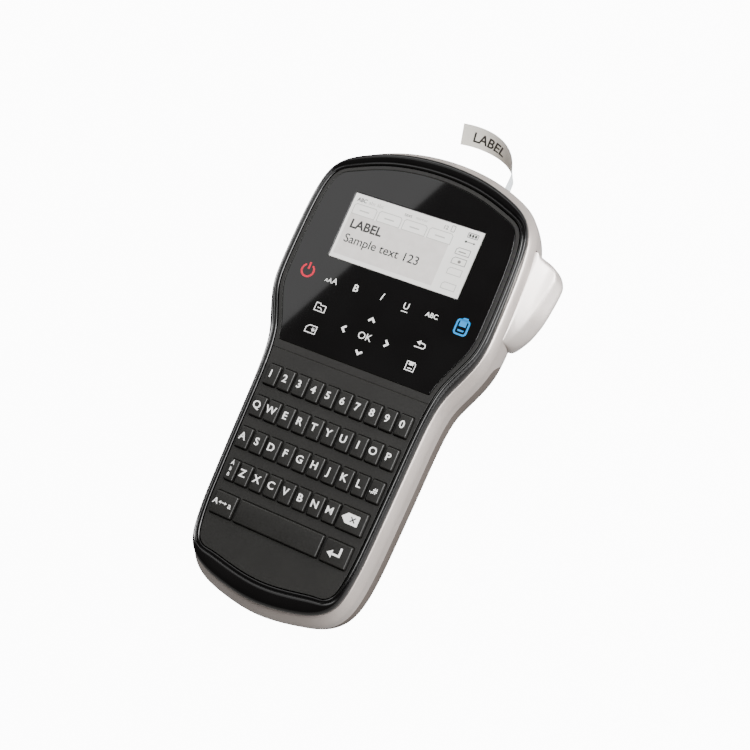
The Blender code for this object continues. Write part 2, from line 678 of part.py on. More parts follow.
def make_platen(face, finish):
    """Rubber roller that feeds the label, with a gear moulded on its lower end."""
    centre = platen_centre()
    roller_low = -LABEL_DEPTH - LABEL_WIDTH / 2 - 1.5
    roller = prism("platen_roller", circle(centre, PLATEN_RADIUS, 24), roller_low,
                   -LABEL_DEPTH + LABEL_WIDTH / 2 + 1.5, face, finish, (*centre, 0.0))
    gear = prism("add_platen_gear", gear_outline(centre, GEAR_TEETH, math.pi / 2), roller_low - GEAR_WIDTH,
                 roller_low + 0.5, face, None, (*centre, 0.0))
    boolean(roller, gear, "UNION")


def make_motor(face, metal, plastic):
    """Small motor behind the gear, and the pinion on its shaft."""
    centre = motor_centre()
    gear_low = -LABEL_DEPTH - LABEL_WIDTH / 2 - 1.5 - GEAR_WIDTH
    prism("motor_pinion", gear_outline(centre, PINION_TEETH, math.pi / 2 + math.pi / PINION_TEETH),
          gear_low, gear_low + GEAR_WIDTH - 0.4, face, plastic, (*centre, 0.0))
    prism("drive_motor", circle(centre, MOTOR_RADIUS, 24), gear_low - CLEAR - MOTOR_LENGTH,
          gear_low - CLEAR, face, metal)


def make_print_head(face, finish):
    """Thermal head that presses the label against the roller."""
    x = LABEL_X - LABEL_THICKNESS / 2 - ROLLER_GAP - HEAD_BLOCK[0] / 2
    outline = rectangle((x, TOP - PLATEN_FROM_TOP), HEAD_BLOCK[:2])
    prism("print_head", outline, -LABEL_DEPTH - HEAD_BLOCK[2] / 2, -LABEL_DEPTH + HEAD_BLOCK[2] / 2,
          face, finish)


def make_cassette(face, finish):
    """Label cassette in the head, in line with the label."""
    centre = (CASSETTE_RIGHT - CASSETTE[0] / 2, TOP - CASSETTE_FROM_TOP - CASSETTE[1] / 2)
    prism("label_cassette", rounded_rectangle(centre, CASSETTE[:2], 4.0), -LABEL_DEPTH - CASSETTE[2] / 2,
          -LABEL_DEPTH + CASSETTE[2] / 2, face, finish)


def make_board(face, finish):
    """Circuit board under the keys."""
    low = -PLATE - FLANGE_GAP - FLANGE - KEY_TRAVEL - CLEAR - BOARD[1]
    outline = rectangle((0, sum(BOARD_ENDS) / 2), (BOARD[0], BOARD_ENDS[1] - BOARD_ENDS[0]))
    prism("main_board", outline, low, low + BOARD[1], face, finish)


def make_battery(face, finish):
    """Battery pack behind its door."""
    low = -HANDLE_DEPTH + WALL + 1.0
    prism("battery_pack", rounded_rectangle((0, BATTERY_Y), BATTERY[:2], 3.0), low, low + BATTERY[2],
          face, finish)


def build():
    clear_scene()
    cos, sin = math.cos(TILT), math.sin(TILT)
    offset = (0.0, -HEEL_Y * cos - HEEL_DEPTH * sin, -HEEL_Y * sin + HEEL_DEPTH * cos)
    face = frame_empty("face_frame", TILT, offset)
    table = frame_empty("table_frame")
    gloss = material("gloss_black_abs", (0.007, 0.007, 0.007), 0.12)
    charcoal = material("charcoal_abs", (0.045, 0.043, 0.040), 0.5)
    rubber = material("key_rubber", (0.030, 0.029, 0.027), 0.55)
    silver = material("silver_paint", (0.72, 0.69, 0.66), 0.35, 0.6)
    taupe = material("warm_grey_abs", (0.14, 0.12, 0.11), 0.5)
    make_front_case(face, gloss)
    make_keypad_plate(face, charcoal)
    make_control_panel(face, material("gloss_panel", (0.006, 0.006, 0.006), 0.08))
    make_display(face, material("display_glass", (0.80, 0.78, 0.74), 0.15))
    make_side_frame(face, silver)
    make_rear_cover(face, table, taupe)
    make_cassette_door(table, material("cassette_door_abs", (0.14, 0.12, 0.11), 0.5))
    make_battery_door(face, material("battery_door_abs", (0.14, 0.12, 0.11), 0.5))
    make_lever(face, material("lever_paint", (0.80, 0.78, 0.75), 0.35, 0.6))
    make_blade(face, material("blade_steel", (0.55, 0.55, 0.55), 0.25, 1.0))
    make_label(face, material("label_film", (0.60, 0.57, 0.52), 0.35))
    make_platen(face, material("platen_rubber", (0.02, 0.02, 0.02), 0.7))
    make_motor(face, material("motor_steel", (0.45, 0.45, 0.45), 0.35, 1.0),
               material("gear_acetal", (0.75, 0.74, 0.70), 0.4))
    make_print_head(face, material("print_head_ceramic", (0.65, 0.62, 0.55), 0.4))
    make_cassette(face, material("cassette_abs", (0.03, 0.03, 0.03), 0.5))
    make_board(face, material("board_laminate", (0.02, 0.12, 0.05), 0.5))
    make_battery(face, material("battery_wrap", (0.05, 0.07, 0.12), 0.4))
    make_keys(face, rubber)


build()
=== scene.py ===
"""Looks of a handheld label maker: fine surfaces, legends, finishes, light and camera.

Every surface is worked out in the face frame, in millimetres: X to the right as the keys are read,
Y towards the label slot, Z out of the face, with the keypad surface at Z = 0.
"""

import json
import math

import bmesh
import bpy
import numpy as np
from mathutils import Matrix, Vector


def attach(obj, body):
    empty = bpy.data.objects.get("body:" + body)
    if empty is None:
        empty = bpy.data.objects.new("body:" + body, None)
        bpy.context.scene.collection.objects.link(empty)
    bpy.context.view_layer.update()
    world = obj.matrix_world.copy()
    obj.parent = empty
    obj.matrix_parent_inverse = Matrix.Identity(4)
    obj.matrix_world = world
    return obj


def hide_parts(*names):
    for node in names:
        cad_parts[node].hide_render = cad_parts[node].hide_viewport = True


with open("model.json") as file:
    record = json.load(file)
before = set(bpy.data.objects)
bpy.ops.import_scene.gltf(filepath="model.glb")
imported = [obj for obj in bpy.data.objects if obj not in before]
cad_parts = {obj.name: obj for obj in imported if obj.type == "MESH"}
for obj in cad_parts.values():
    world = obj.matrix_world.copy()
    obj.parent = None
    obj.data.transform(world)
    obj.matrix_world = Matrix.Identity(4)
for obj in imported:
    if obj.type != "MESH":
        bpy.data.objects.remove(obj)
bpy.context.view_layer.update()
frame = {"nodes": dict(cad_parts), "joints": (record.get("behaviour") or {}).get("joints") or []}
JOINTS = {j["name"]: j for j in frame["joints"]}
MM = 0.001

# ---------------------------------------------------------------- the machine's sizes, in millimetres

LENGTH = 203.0  # silver frame, end to end
HEAD_WIDTH = 96.4  # black rim across the head
HANDLE_WIDTH = 74.6  # black rim across the handle
HEEL_DEPTH = 31.0
HANDLE_DEPTH = 33.0
HEAD_DEPTH = 54.0
HEEL_Y = -90.0
HEAD_Y = 63.0
HUMP = (0.0, 42.0)  # where the rear drops from the grip to the head
CLEAR = 0.3
WALL = 2.0
SWELL_SIDE = 2.3
SWELL_END = 4.5
SWELL_HEIGHT = 7.0
RIM_SIDE = 2.7
RIM_TOP = 6.2
RIM_HEEL = 8.4
RIM_HEIGHT = 0.7
RIM_BOTTOM = 4.0
RIM_WALL = 2.6  # depth at which the rim's shoulder starts
RIM_FALL = 0.75  # from the crown down to the groove inside it
INNER_BEAD = 1.7  # width of the groove and the thin bead together
SILVER_GRIP = 17.0
SILVER_HEAD = 38.0
SILVER_RAMP = (24.0, 36.0)
GRIP_ROUNDING = (10.0, 7.0)
HEAD_ROUNDING = (40.0, 16.0)
PLATE = 2.2
PANEL_RING = 1.8
PANEL_BOTTOM = 3.9
PANEL = 1.1
PANEL_PROUD = 0.1
WINDOW = (59.4, 29.8)
WINDOW_TOP = 23.6
GLASS_RECESS = 0.15
KEY = (5.6, 9.1)
KEY_PITCH = 6.68
ROW_PITCH = 13.9
FIRST_ROW_Y = -11.3
KEY_HEIGHT = 1.4
KEY_FLARE = 0.22
KEY_CLEAR = 0.25
KEY_FLANGE = 0.25
FLANGE_TOP = -2.7
FLANGE = 1.0
WIDE_KEY_HEIGHT = 9.6
LEVER_PIVOT = (45.6, 39.4)
LEVER_TIP_Y = 36.6
LEVER_TOP_Y = 75.6
LEVER_FRONT = 10.6
LEVER_EDGE = 17.4
LEVER_REAR = 31.0
LEVER_REACH = 62.3
LEVER_INNER = 43.2
LEVER_CLEAR = 0.6
LABEL_X = 24.5
LABEL_WIDTH = 9.0
LABEL_DEPTH = 20.0
SLOT_WIDTH = 2.6
LABEL_START = 29.0
BATTERY_Y = -43.0
CASSETTE_DOOR = (58.0, 36.0)
BATTERY_DOOR = (50.0, 58.0)
DOOR_THICKNESS = 1.8

TOP = LENGTH / 2 - SWELL_END
HEAD_HALF = HEAD_WIDTH / 2
HANDLE_HALF = HANDLE_WIDTH / 2
REST_SLOPE = (HEAD_DEPTH - HEEL_DEPTH) / (HEAD_Y - HEEL_Y)
WINDOW_Y = TOP - WINDOW_TOP - WINDOW[1] / 2

# The keys slide straight into the face, and the lever's pivot gives the face frame's place.
FACE_IN = np.array(JOINTS["key_a_press"]["axis"])
TILT = math.atan2(FACE_IN[1], -FACE_IN[2])
FACE_TURN = np.array(((1, 0, 0), (0, math.cos(TILT), -math.sin(TILT)), (0, math.sin(TILT), math.cos(TILT))))
FACE_ORIGIN = np.array(JOINTS["cutter_lever_press"]["pos_m"]) - FACE_TURN @ (*LEVER_PIVOT, 0.0) * MM

# Right half of the rim's outer edge, from the top of the head to the end of the handle
RIM_HALF = (
    (0, TOP),
    (20, TOP - 2.2),
    (HEAD_HALF - 11, TOP - 8.6),
    (HEAD_HALF - 3.8, TOP - 15),
    (HEAD_HALF - 0.9, TOP - 26),
    (HEAD_HALF, TOP - 42),
    (HEAD_HALF, 33),
    (HEAD_HALF - 1, 23.5),
    ((HEAD_HALF + HANDLE_HALF) / 2 + 0.8, 13.6),
    (HANDLE_HALF + 2.4, 4.6),
    (HANDLE_HALF + 0.9, -4),
    (HANDLE_HALF + 0.2, -16),
    (HANDLE_HALF - 0.3, -38),
    (HANDLE_HALF - 0.9, 38 - TOP),
    (HANDLE_HALF - 1.6, 25 - TOP),
    (HANDLE_HALF - 4.0, 11.5 - TOP),
    (HANDLE_HALF - 10.6, 5.2 - TOP),
    (14, 1.6 - TOP),
    (0, -TOP),
)
ROUND = 512  # points of every ring round the casing


# ---------------------------------------------------------------- curves and grids

def placed(points):
    """Millimetres in the face frame to metres in the row frame."""
    return np.asarray(points, float) @ FACE_TURN.T * MM + FACE_ORIGIN


def catmull_rom(points, steps):
    """A smooth curve through the points: each span is the cubic whose end slopes join its neighbours."""
    p = np.array(points, float)
    p = np.vstack([2 * p[0] - p[1], p, 2 * p[-1] - p[-2]])
    t = np.arange(steps)[:, None] / steps
    spans = [0.5 * (2 * b + (c - a) * t + (2 * a - 5 * b + 4 * c - d) * t**2 + (3 * b - a - 3 * c + d) * t**3)
             for a, b, c, d in zip(p[:-3], p[1:-2], p[2:-1], p[3:])]
    return np.vstack(spans + [p[-2:-1]])


def smoothed(loop, passes):
    """A closed loop averaged with its neighbours again and again, which rounds its corners."""
    for _ in range(passes):
        loop = (np.roll(loop, 1, axis=0) + 2 * loop + np.roll(loop, -1, axis=0)) / 4
    return loop


def evenly(points, count):
    """count points along an open line, at equal distances."""
    run = np.concatenate([[0], np.cumsum(np.linalg.norm(np.diff(points, axis=0), axis=1))])
    at = np.linspace(0, run[-1], count)
    return np.stack([np.interp(at, run, points[:, k]) for k in range(points.shape[1])], axis=1)


def rim_outline():
    """Rim's outer edge, clockwise from the top centre: its right half and the same half mirrored."""
    before, after = ((-x, y) for x, y in (RIM_HALF[1], RIM_HALF[-2]))
    half = catmull_rom([before, *RIM_HALF, after], 24)[24:-24]
    length = np.linalg.norm(np.diff(half, axis=0), axis=1).sum()
    half = evenly(half, int(length) + 1)
    loop = smoothed(np.vstack([half, half[-2:0:-1] * (-1, 1)]), 24)
    half = evenly(catmull_rom(loop[: len(half)], 4), ROUND // 2 + 1)
    half[[0, -1], 0] = 0
    return np.vstack([half, half[-2:0:-1] * (-1, 1)])


def outward(outline):
    """Unit normals of a clockwise outline: its tangents turned a quarter to the left."""
    tangent = np.roll(outline, -1, axis=0) - np.roll(outline, 1, axis=0)
    normal = np.stack([-tangent[:, 1], tangent[:, 0]], axis=1)
    return normal / np.linalg.norm(normal, axis=1)[:, None]


RIM = rim_outline()
NORMAL = smoothed(outward(RIM), 8)
SOFT_NORMAL = smoothed(NORMAL, 240)
TOWARDS_TOP = np.clip(NORMAL[:, 1], 0, 1) ** 2
TOWARDS_HEEL = np.clip(-NORMAL[:, 1], 0, 1) ** 2
SWELL = SWELL_SIDE + (SWELL_END - SWELL_SIDE) * (TOWARDS_TOP + TOWARDS_HEEL)
RIM_WIDTH = RIM_SIDE + (RIM_TOP - RIM_SIDE) * TOWARDS_TOP + (RIM_HEEL - RIM_SIDE) * TOWARDS_HEEL


def shifted(distance):
    """The rim outline moved outwards by a distance, one number or one for each point."""
    return RIM + NORMAL * np.broadcast_to(distance, len(RIM))[:, None]


def ease(x, low, high):
    """0 below low, 1 above high, and the cubic 3t² - 2t³ in between."""
    t = np.clip((np.asarray(x, float) - low) / (high - low), 0, 1)
    return t * t * (3 - 2 * t)


def rest_depth(y):
    """Depth of the table plane under the face."""
    return HEEL_DEPTH + REST_SLOPE * (np.asarray(y, float) - HEEL_Y)


def rear_depth(y):
    """Depth of the casing's rear: on the table at the heel and the head, level along the grip."""
    low = np.minimum(rest_depth(y), HANDLE_DEPTH)
    return low + (rest_depth(y) - low) * ease(y, *HUMP)


def silver_edge(y):
    """Depth of the seam between the silver frame and the rear cover."""
    return SILVER_GRIP + (SILVER_HEAD - SILVER_GRIP) * ease(y, *SILVER_RAMP)


def casing_ring(depth, inset=0.0):
    """The casing's outer surface at a depth: it swells out as a quarter sine and tucks in as an ellipse."""
    depth = np.broadcast_to(depth, len(RIM)).astype(float)
    rear = rear_depth(RIM[:, 1])
    head = np.clip((rear - HANDLE_DEPTH) / (HEAD_DEPTH - HANDLE_DEPTH), 0, 1)
    height = GRIP_ROUNDING[0] + (HEAD_ROUNDING[0] - GRIP_ROUNDING[0]) * head
    width = GRIP_ROUNDING[1] + (HEAD_ROUNDING[1] - GRIP_ROUNDING[1]) * head
    rise = np.sin(np.pi / 2 * np.clip((depth - RIM_BOTTOM) / SWELL_HEIGHT, 0, 1))
    tuck = width * (1 - np.sqrt(1 - np.clip((depth - rear + height) / height, 0, 1) ** 2))
    xy = shifted(SWELL * rise) - SOFT_NORMAL * (tuck + inset)[:, None]
    return np.column_stack([xy, -depth])


def grid_faces(rows, columns, closed_rows=False, closed_columns=True):
    """Quads between the points of a grid stored row by row; a closed direction joins last to first."""
    r = np.arange(rows if closed_rows else rows - 1)[:, None]
    c = np.arange(columns if closed_columns else columns - 1)[None, :]
    here, there = r * columns, (r + 1) % rows * columns
    right = (c + 1) % columns
    return np.stack([here + c, here + right, there + right, there + c], axis=-1).reshape(-1, 4)


def across_faces(first, count):
    """Quads that close a mirrored ring, each joining two points on the right to two on the left."""
    i = np.arange(1, count // 2 - 1)
    quads = np.stack([first + i, first + i + 1, first + count - i - 1, first + count - i], axis=-1).tolist()
    half = first + count // 2
    return quads + [[first, first + 1, first + count - 1], [half - 1, half, half + 1]]


def rounded_rectangle(centre, size, radius, steps=8):
    """Corners are quarter circles, drawn anticlockwise from the right."""
    a = np.pi / 2 * (np.arange(4)[:, None] + np.linspace(0, 1, steps + 1)[None, :])
    sign = np.array(((1, 1), (-1, 1), (-1, -1), (1, -1)), float)[:, None, :]
    middle = np.array(centre) + sign * (np.array(size) / 2 - radius)
    return (middle + radius * np.stack([np.cos(a), np.sin(a)], axis=-1)).reshape(-1, 2)


def circle(centre, radius, count=48):
    a = np.arange(count) * 2 * np.pi / count
    return np.column_stack([centre[0] + radius * np.cos(a), centre[1] + radius * np.sin(a)])


# ---------------------------------------------------------------- making pieces

def mesh_object(name, points, faces, sharp=35.0):
    """A smooth-shaded object from points in the face frame, with its faces turned outwards."""
    mesh = bpy.data.meshes.new(name)
    mesh.from_pydata(placed(points).tolist(), [], [list(map(int, f)) for f in faces])
    bm = bmesh.new()
    bm.from_mesh(mesh)
    bmesh.ops.recalc_face_normals(bm, faces=bm.faces)
    bm.to_mesh(mesh)
    bm.free()
    mesh.shade_smooth()
    mesh.set_sharp_from_angle(angle=math.radians(sharp))
    obj = bpy.data.objects.new(name, mesh)
    bpy.context.scene.collection.objects.link(obj)
    return obj


def belongs(obj, body, finish=None, stands_for=()):
    """The piece rides on a body, takes a finish, and may stand for CAD nodes."""
    if finish:
        obj.data.materials.clear()
        obj.data.materials.append(finish)
    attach(obj, body)
    if stands_for:
        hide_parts(*stands_for)
    return obj


def lofted(name, sections, closed=False, sharp=35.0):
    """Equal sections joined in order, closed into a band or capped at both ends."""
    rows, count = len(sections), len(sections[0])
    faces = grid_faces(rows, count, closed_rows=closed).tolist()
    if not closed:
        faces += [list(range(count)), list(range((rows - 1) * count, rows * count))]
    return mesh_object(name, np.vstack(sections), faces, sharp)


def level(outline, z):
    """An outline in X and Y, at a height."""
    return np.column_stack([outline, np.full(len(outline), float(z))])


def prism(name, outline, low, high):
    return lofted(name, [level(outline, low), level(outline, high)])


def button(name, centre, size, radius, low, high, edge, steps=5):
    """A block with round corners whose top edge is a quarter circle in section."""
    sections = [level(rounded_rectangle(centre, size, radius), low)]
    for a in np.linspace(0, np.pi / 2, steps):
        inset = edge * (1 - math.cos(a))
        shrunk = (size[0] - 2 * inset, size[1] - 2 * inset)
        outline = rounded_rectangle(centre, shrunk, max(radius - inset, 0.05))
        sections.append(level(outline, high - edge + edge * math.sin(a)))
    return lofted(name, sections)


def carved(obj, *cutters, operation="DIFFERENCE", sharp=35.0):
    """The exact boolean of the piece with each cutter, applied to its mesh."""
    for cutter in cutters:
        mod = obj.modifiers.new("carve", "BOOLEAN")
        mod.operation = operation
        mod.solver = "EXACT"
        mod.object = cutter
        bpy.context.view_layer.update()
        whole = bpy.data.meshes.new_from_object(obj.evaluated_get(bpy.context.evaluated_depsgraph_get()))
        obj.modifiers.clear()
        spare, obj.data = obj.data, whole
        bpy.data.meshes.remove(spare)
        bpy.data.objects.remove(cutter, do_unlink=True)
    obj.data.shade_smooth()
    obj.data.set_sharp_from_angle(angle=math.radians(sharp))
    return obj


def eased(obj, width, segments=3, angle=40.0):
    """Rounds the piece's sharp edges, as a mould does."""
    mod = obj.modifiers.new("eased", "BEVEL")
    mod.width = width * MM
    mod.segments = segments
    mod.limit_method = "ANGLE"
    mod.angle_limit = math.radians(angle)
    mod.harden_normals = True
    return obj


# ---------------------------------------------------------------- finishes

def linear(code):
    """An sRGB hex colour as linear red, green, blue and alpha."""
    srgb = np.array([int(code[i:i + 2], 16) for i in (1, 3, 5)]) / 255
    rgb = np.where(srgb <= 0.04045, srgb / 12.92, ((srgb + 0.055) / 1.055) ** 2.4)
    return (*rgb, 1.0)


def add(tree, kind, inputs=None, **settings):
    """A node with its settings; an input is either a value or another node's output."""
    made = tree.nodes.new(kind)
    for key, value in settings.items():
        setattr(made, key, value)
    for socket, value in (inputs or {}).items():
        if isinstance(value, bpy.types.NodeSocket):
            tree.links.new(value, made.inputs[socket])
        else:
            made.inputs[socket].default_value = value
    return made


def principled(name, **values):
    """A material with its shader's values set, and the tree and shader to build on."""
    mat = bpy.data.materials.new(name)
    mat.use_nodes = True
    shader = mat.node_tree.nodes["Principled BSDF"]
    for socket, value in values.items():
        shader.inputs[socket.replace("_", " ")].default_value = value
    return mat, mat.node_tree, shader


def speckle(tree, size_mm, detail=3.0, rough=0.5):
    """Noise on the piece's own coordinates whose spots are about this many millimetres across."""
    place = add(tree, "ShaderNodeTexCoord").outputs["Object"]
    return add(tree, "ShaderNodeTexNoise", {"Vector": place, "Scale": 1 / (size_mm * MM), "Detail": detail,
                                            "Roughness": rough}).outputs["Fac"]


def between(tree, factor, low, high, start=0.35, end=0.65):
    """A factor stretched from start..end to low..high."""
    ends = {"From Min": start, "From Max": end, "To Min": low, "To Max": high}
    return add(tree, "ShaderNodeMapRange", {"Value": factor, **ends}).outputs["Result"]


def two_tone(tree, factor, first, second):
    """A colour that runs from one hex colour to another."""
    mix = add(tree, "ShaderNodeMix", {"Factor": factor}, data_type="RGBA")
    mix.inputs["A"].default_value = linear(first)
    mix.inputs["B"].default_value = linear(second)
    return mix.outputs["Result"]


def grained(tree, shader, size_mm, height_mm, strength=1.0):
    """Bump from a mould's spark-eroded grain."""
    bump = add(tree, "ShaderNodeBump", {"Height": speckle(tree, size_mm, 2.0), "Distance": height_mm * MM,
                                        "Strength": strength})
    tree.links.new(bump.outputs["Normal"], shader.inputs["Normal"])


def moulded(name, first, second, roughness, grain_mm, grain_height_mm, cloud_mm=14.0):
    """Moulded plastic: two close tones in soft clouds, and grain that breaks up its sheen."""
    mat, tree, shader = principled(name, IOR=1.53)
    cloud = between(tree, speckle(tree, cloud_mm), 0.0, 1.0)
    tree.links.new(two_tone(tree, cloud, first, second), shader.inputs["Base Color"])
    fine = between(tree, speckle(tree, grain_mm), roughness - 0.06, roughness + 0.06)
    tree.links.new(fine, shader.inputs["Roughness"])
    grained(tree, shader, grain_mm, grain_height_mm)
    return mat


def polished(name, first, second, roughness, wave_mm=9.0, wave_height_mm=0.0015, coat=0.0):
    """Gloss plastic: near black, with the long faint ripple of a polished mould and a few dull specks."""
    mat, tree, shader = principled(name, IOR=1.54, Coat_Weight=coat, Coat_Roughness=0.03)
    cloud = between(tree, speckle(tree, 20.0), 0.0, 1.0)
    tree.links.new(two_tone(tree, cloud, first, second), shader.inputs["Base Color"])
    specks = between(tree, speckle(tree, 0.9, 4.0, 0.7), roughness, roughness + 0.10, 0.60, 0.78)
    tree.links.new(specks, shader.inputs["Roughness"])
    waves = speckle(tree, wave_mm, 1.0)
    bump = add(tree, "ShaderNodeBump", {"Height": waves, "Distance": wave_height_mm * MM})
    tree.links.new(bump.outputs["Normal"], shader.inputs["Normal"])
    return mat


def metallic_paint(name, first, second):
    """Silver paint on ABS: aluminium flakes give a fine sparkle and a soft broad sheen."""
    mat, tree, shader = principled(name, Metallic=0.55, IOR=1.5, Coat_Weight=0.35, Coat_Roughness=0.12)
    flake = speckle(tree, 0.35, 4.0, 0.8)
    cloud = speckle(tree, 18.0)
    halves = {0: between(tree, flake, 0.0, 0.5), 1: between(tree, cloud, 0.0, 0.5)}
    shade = add(tree, "ShaderNodeMath", halves, operation="ADD").outputs[0]
    tree.links.new(two_tone(tree, shade, first, second), shader.inputs["Base Color"])
    tree.links.new(between(tree, flake, 0.30, 0.40), shader.inputs["Roughness"])
    grained(tree, shader, 0.5, 0.0015, 0.5)
    return mat


def printed(name, first, second, roughness=0.45):
    """Screen-printed ink: flat, with the slight mottling of the mesh it was pressed through."""
    mat, tree, shader = principled(name, IOR=1.5)
    tree.links.new(two_tone(tree, between(tree, speckle(tree, 0.3, 3.0), 0, 1), first, second),
                   shader.inputs["Base Color"])
    gloss = between(tree, speckle(tree, 0.4), roughness - 0.05, roughness + 0.08)
    tree.links.new(gloss, shader.inputs["Roughness"])
    return mat


def metal(name, colour, roughness, brushed_mm=0.25):
    """Bare metal with fine lines across it, drawn along X by stretching the noise."""
    mat, tree, shader = principled(name, Metallic=1.0, Base_Color=linear(colour))
    place = add(tree, "ShaderNodeTexCoord").outputs["Object"]
    lines = add(tree, "ShaderNodeMapping", {"Vector": place, "Scale": (0.05, 1.0, 1.0)}).outputs["Vector"]
    noise = add(tree, "ShaderNodeTexNoise", {"Vector": lines, "Scale": 1 / (brushed_mm * MM), "Detail": 3.0})
    gloss = between(tree, noise.outputs["Fac"], roughness - 0.08, roughness + 0.10)
    tree.links.new(gloss, shader.inputs["Roughness"])
    bump = add(tree, "ShaderNodeBump", {"Height": noise.outputs["Fac"], "Distance": 0.003 * MM})
    tree.links.new(bump.outputs["Normal"], shader.inputs["Normal"])
    return mat


# High-gloss black ABS, polished mould: deep black with a long soft highlight round the rim.
RIM_BLACK = polished("gloss_black_abs", "#070606", "#0A0909", 0.12)
# Hard-coated polycarbonate film, printed black from behind: mirror-like, nearly flat.
PANEL_BLACK = polished("black_backed_polycarbonate", "#070606", "#0A0909", 0.04, 30.0, 0.002, coat=0.6)
# Charcoal ABS from a spark-eroded mould: a dry, even, slightly warm dark grey.
CHARCOAL = moulded("charcoal_abs", "#171614", "#1B1A18", 0.46, 0.45, 0.010)
# Silicone rubber with a matt coat: softer and darker than the plate round it.
KEY_RUBBER = moulded("coated_silicone", "#161513", "#1A1917", 0.42, 0.5, 0.008)
# Silver metallic paint: pale warm grey that goes bright where it faces a lamp.
SILVER = metallic_paint("silver_metallic_paint", "#B2A8A2", "#C4BAB4")
# The lever is painted a shade lighter.
LEVER_SILVER = metallic_paint("lever_metallic_paint", "#BEB5AF", "#CEC6C1")
# Warm grey ABS with a fine matt grain: the rear shell.
WARM_GREY = moulded("warm_grey_abs", "#453D38", "#4D4540", 0.58, 0.5, 0.012)
# White screen ink on the keys and the panel: bright and dry.
WHITE_INK = printed("white_screen_ink", "#E9E8E6", "#F6F5F3")
RED_INK = printed("red_screen_ink", "#C81232", "#D21A3B")
BLUE_INK = printed("blue_screen_ink", "#0080C8", "#0A8CD4")


def under_glass(name, first, second, cloud_mm=3.0, detail=3.0):
    """Liquid crystal seen through clear glass: a flat grey under a mirror-like front."""
    mat, tree, shader = principled(name, IOR=1.5, Roughness=0.35, Coat_Weight=1.0, Coat_Roughness=0.02)
    cloud = between(tree, speckle(tree, cloud_mm, detail), 0, 1)
    tree.links.new(two_tone(tree, cloud, first, second), shader.inputs["Base Color"])
    return mat


# Reflective liquid crystal where nothing is shown: the palest grey.
LCD_GROUND = under_glass("lcd_ground", "#F0EEE9", "#F6F4F0", 25.0, 1.0)
# Segments, from a faint shadow to full contrast.
LCD_FIELD = under_glass("lcd_text_field", "#D6D1CD", "#DED9D5")
LCD_FAINT = under_glass("lcd_faint_segment", "#B0ADA8", "#B8B5B0")
LCD_MID = under_glass("lcd_mid_segment", "#6E6B67", "#76736F")
LCD_DARK = under_glass("lcd_dark_segment", "#242322", "#2C2B2A")
# Polyester label film over a pale adhesive: satin, faintly warm.
FILM = printed("satin_polyester_film", "#D2CEC4", "#DBD7CE", 0.30)
# Siliconised backing paper: a cool white, a little glossy.
BACKING = printed("siliconised_backing_paper", "#D5DDE2", "#E6ECEF", 0.28)
THERMAL_INK = printed("thermal_transfer_ink", "#1E1B19", "#26221F", 0.4)
# Ground stainless steel blade.
STEEL = metal("ground_stainless_steel", "#B9BBBD", 0.25)
SCREW_STEEL = metal("zinc_plated_steel", "#9FA1A2", 0.35)
MOTOR_CAN = metal("drawn_steel_can", "#A5A6A7", 0.32)
ROLLER = moulded("ground_silicone_roller", "#1D1D1D", "#262626", 0.65, 0.4, 0.01)
ACETAL = moulded("natural_acetal", "#DEDBD2", "#E8E6DE", 0.38, 0.5, 0.006)
ALUMINA = moulded("glazed_alumina", "#CFCBC0", "#DCD9D0", 0.25, 0.6, 0.004)
CASSETTE_BLACK = moulded("cassette_polystyrene", "#262625", "#2E2E2C", 0.40, 0.45, 0.008)
LAMINATE = polished("solder_mask_laminate", "#12452C", "#175236", 0.25, 3.0, 0.01)
WRAP = polished("battery_shrink_sleeve", "#2C3644", "#34404F", 0.22, 5.0, 0.05)


# ---------------------------------------------------------------- casings

def make_rim():
    """Black rim: a wide bead with a quarter-round shoulder, a shallow groove, and a thin bead inside."""
    w = RIM_WIDTH
    bead = w - INNER_BEAD
    shoulder = bead / 2
    quarter = np.linspace(0, np.pi / 2, 10)[1:]
    section = [(0 * w, -RIM_BOTTOM), (0 * w, -3.3), (0 * w, -RIM_WALL)]
    section += [(shoulder * (1 - math.cos(a)), (RIM_HEIGHT + RIM_WALL) * math.sin(a) - RIM_WALL) for a in quarter]
    section += [(shoulder + (bead - shoulder) * math.sin(a), RIM_HEIGHT - RIM_FALL * (1 - math.cos(a)))
                for a in quarter]
    section += [(bead + 0.12, -0.12), (bead + 0.28, -0.14)]
    section += [(bead + 0.95 - 0.62 * math.cos(a), -0.14 + 0.42 * math.sin(a))
                for a in np.linspace(0.1, np.pi * 0.85, 12)]
    section += [(w - 0.12, -0.15), (w, -0.45), (w, -PLATE - CLEAR), (w, -RIM_BOTTOM)]
    rings = [np.column_stack([shifted(-inwards), np.full(len(RIM), z)]) for inwards, z in section]
    rim = lofted("rim_bead", rings, closed=True, sharp=50)
    belongs(rim, "housing", RIM_BLACK, ["front_case"])


def lever_window():
    """Cutter for the lever's window in the silver frame, with the casing's corner radii."""
    size = (LEVER_TOP_Y - LEVER_TIP_Y + 2 * LEVER_CLEAR, LEVER_REAR - LEVER_FRONT + 2 * LEVER_CLEAR)
    centre = ((LEVER_TIP_Y + LEVER_TOP_Y) / 2, -(LEVER_FRONT + LEVER_REAR) / 2)
    outline = rounded_rectangle(centre, size, 1.2)
    near, far = LEVER_PIVOT[0] - 6, LEVER_REACH + 6
    ends = [np.column_stack([np.full(len(outline), x), outline]) for x in (near, far)]
    return lofted("window_cutter", ends)


def label_slot():
    """Cutter for the label's exit: a narrow slot with round ends."""
    outline = rounded_rectangle((LABEL_X, -LABEL_DEPTH), (SLOT_WIDTH, LABEL_WIDTH + 2), 1.2)
    x, z = outline.T
    ends = [np.column_stack([x, np.full(len(outline), y), z]) for y in (TOP - 15, TOP + 15)]
    return lofted("slot_cutter", ends)


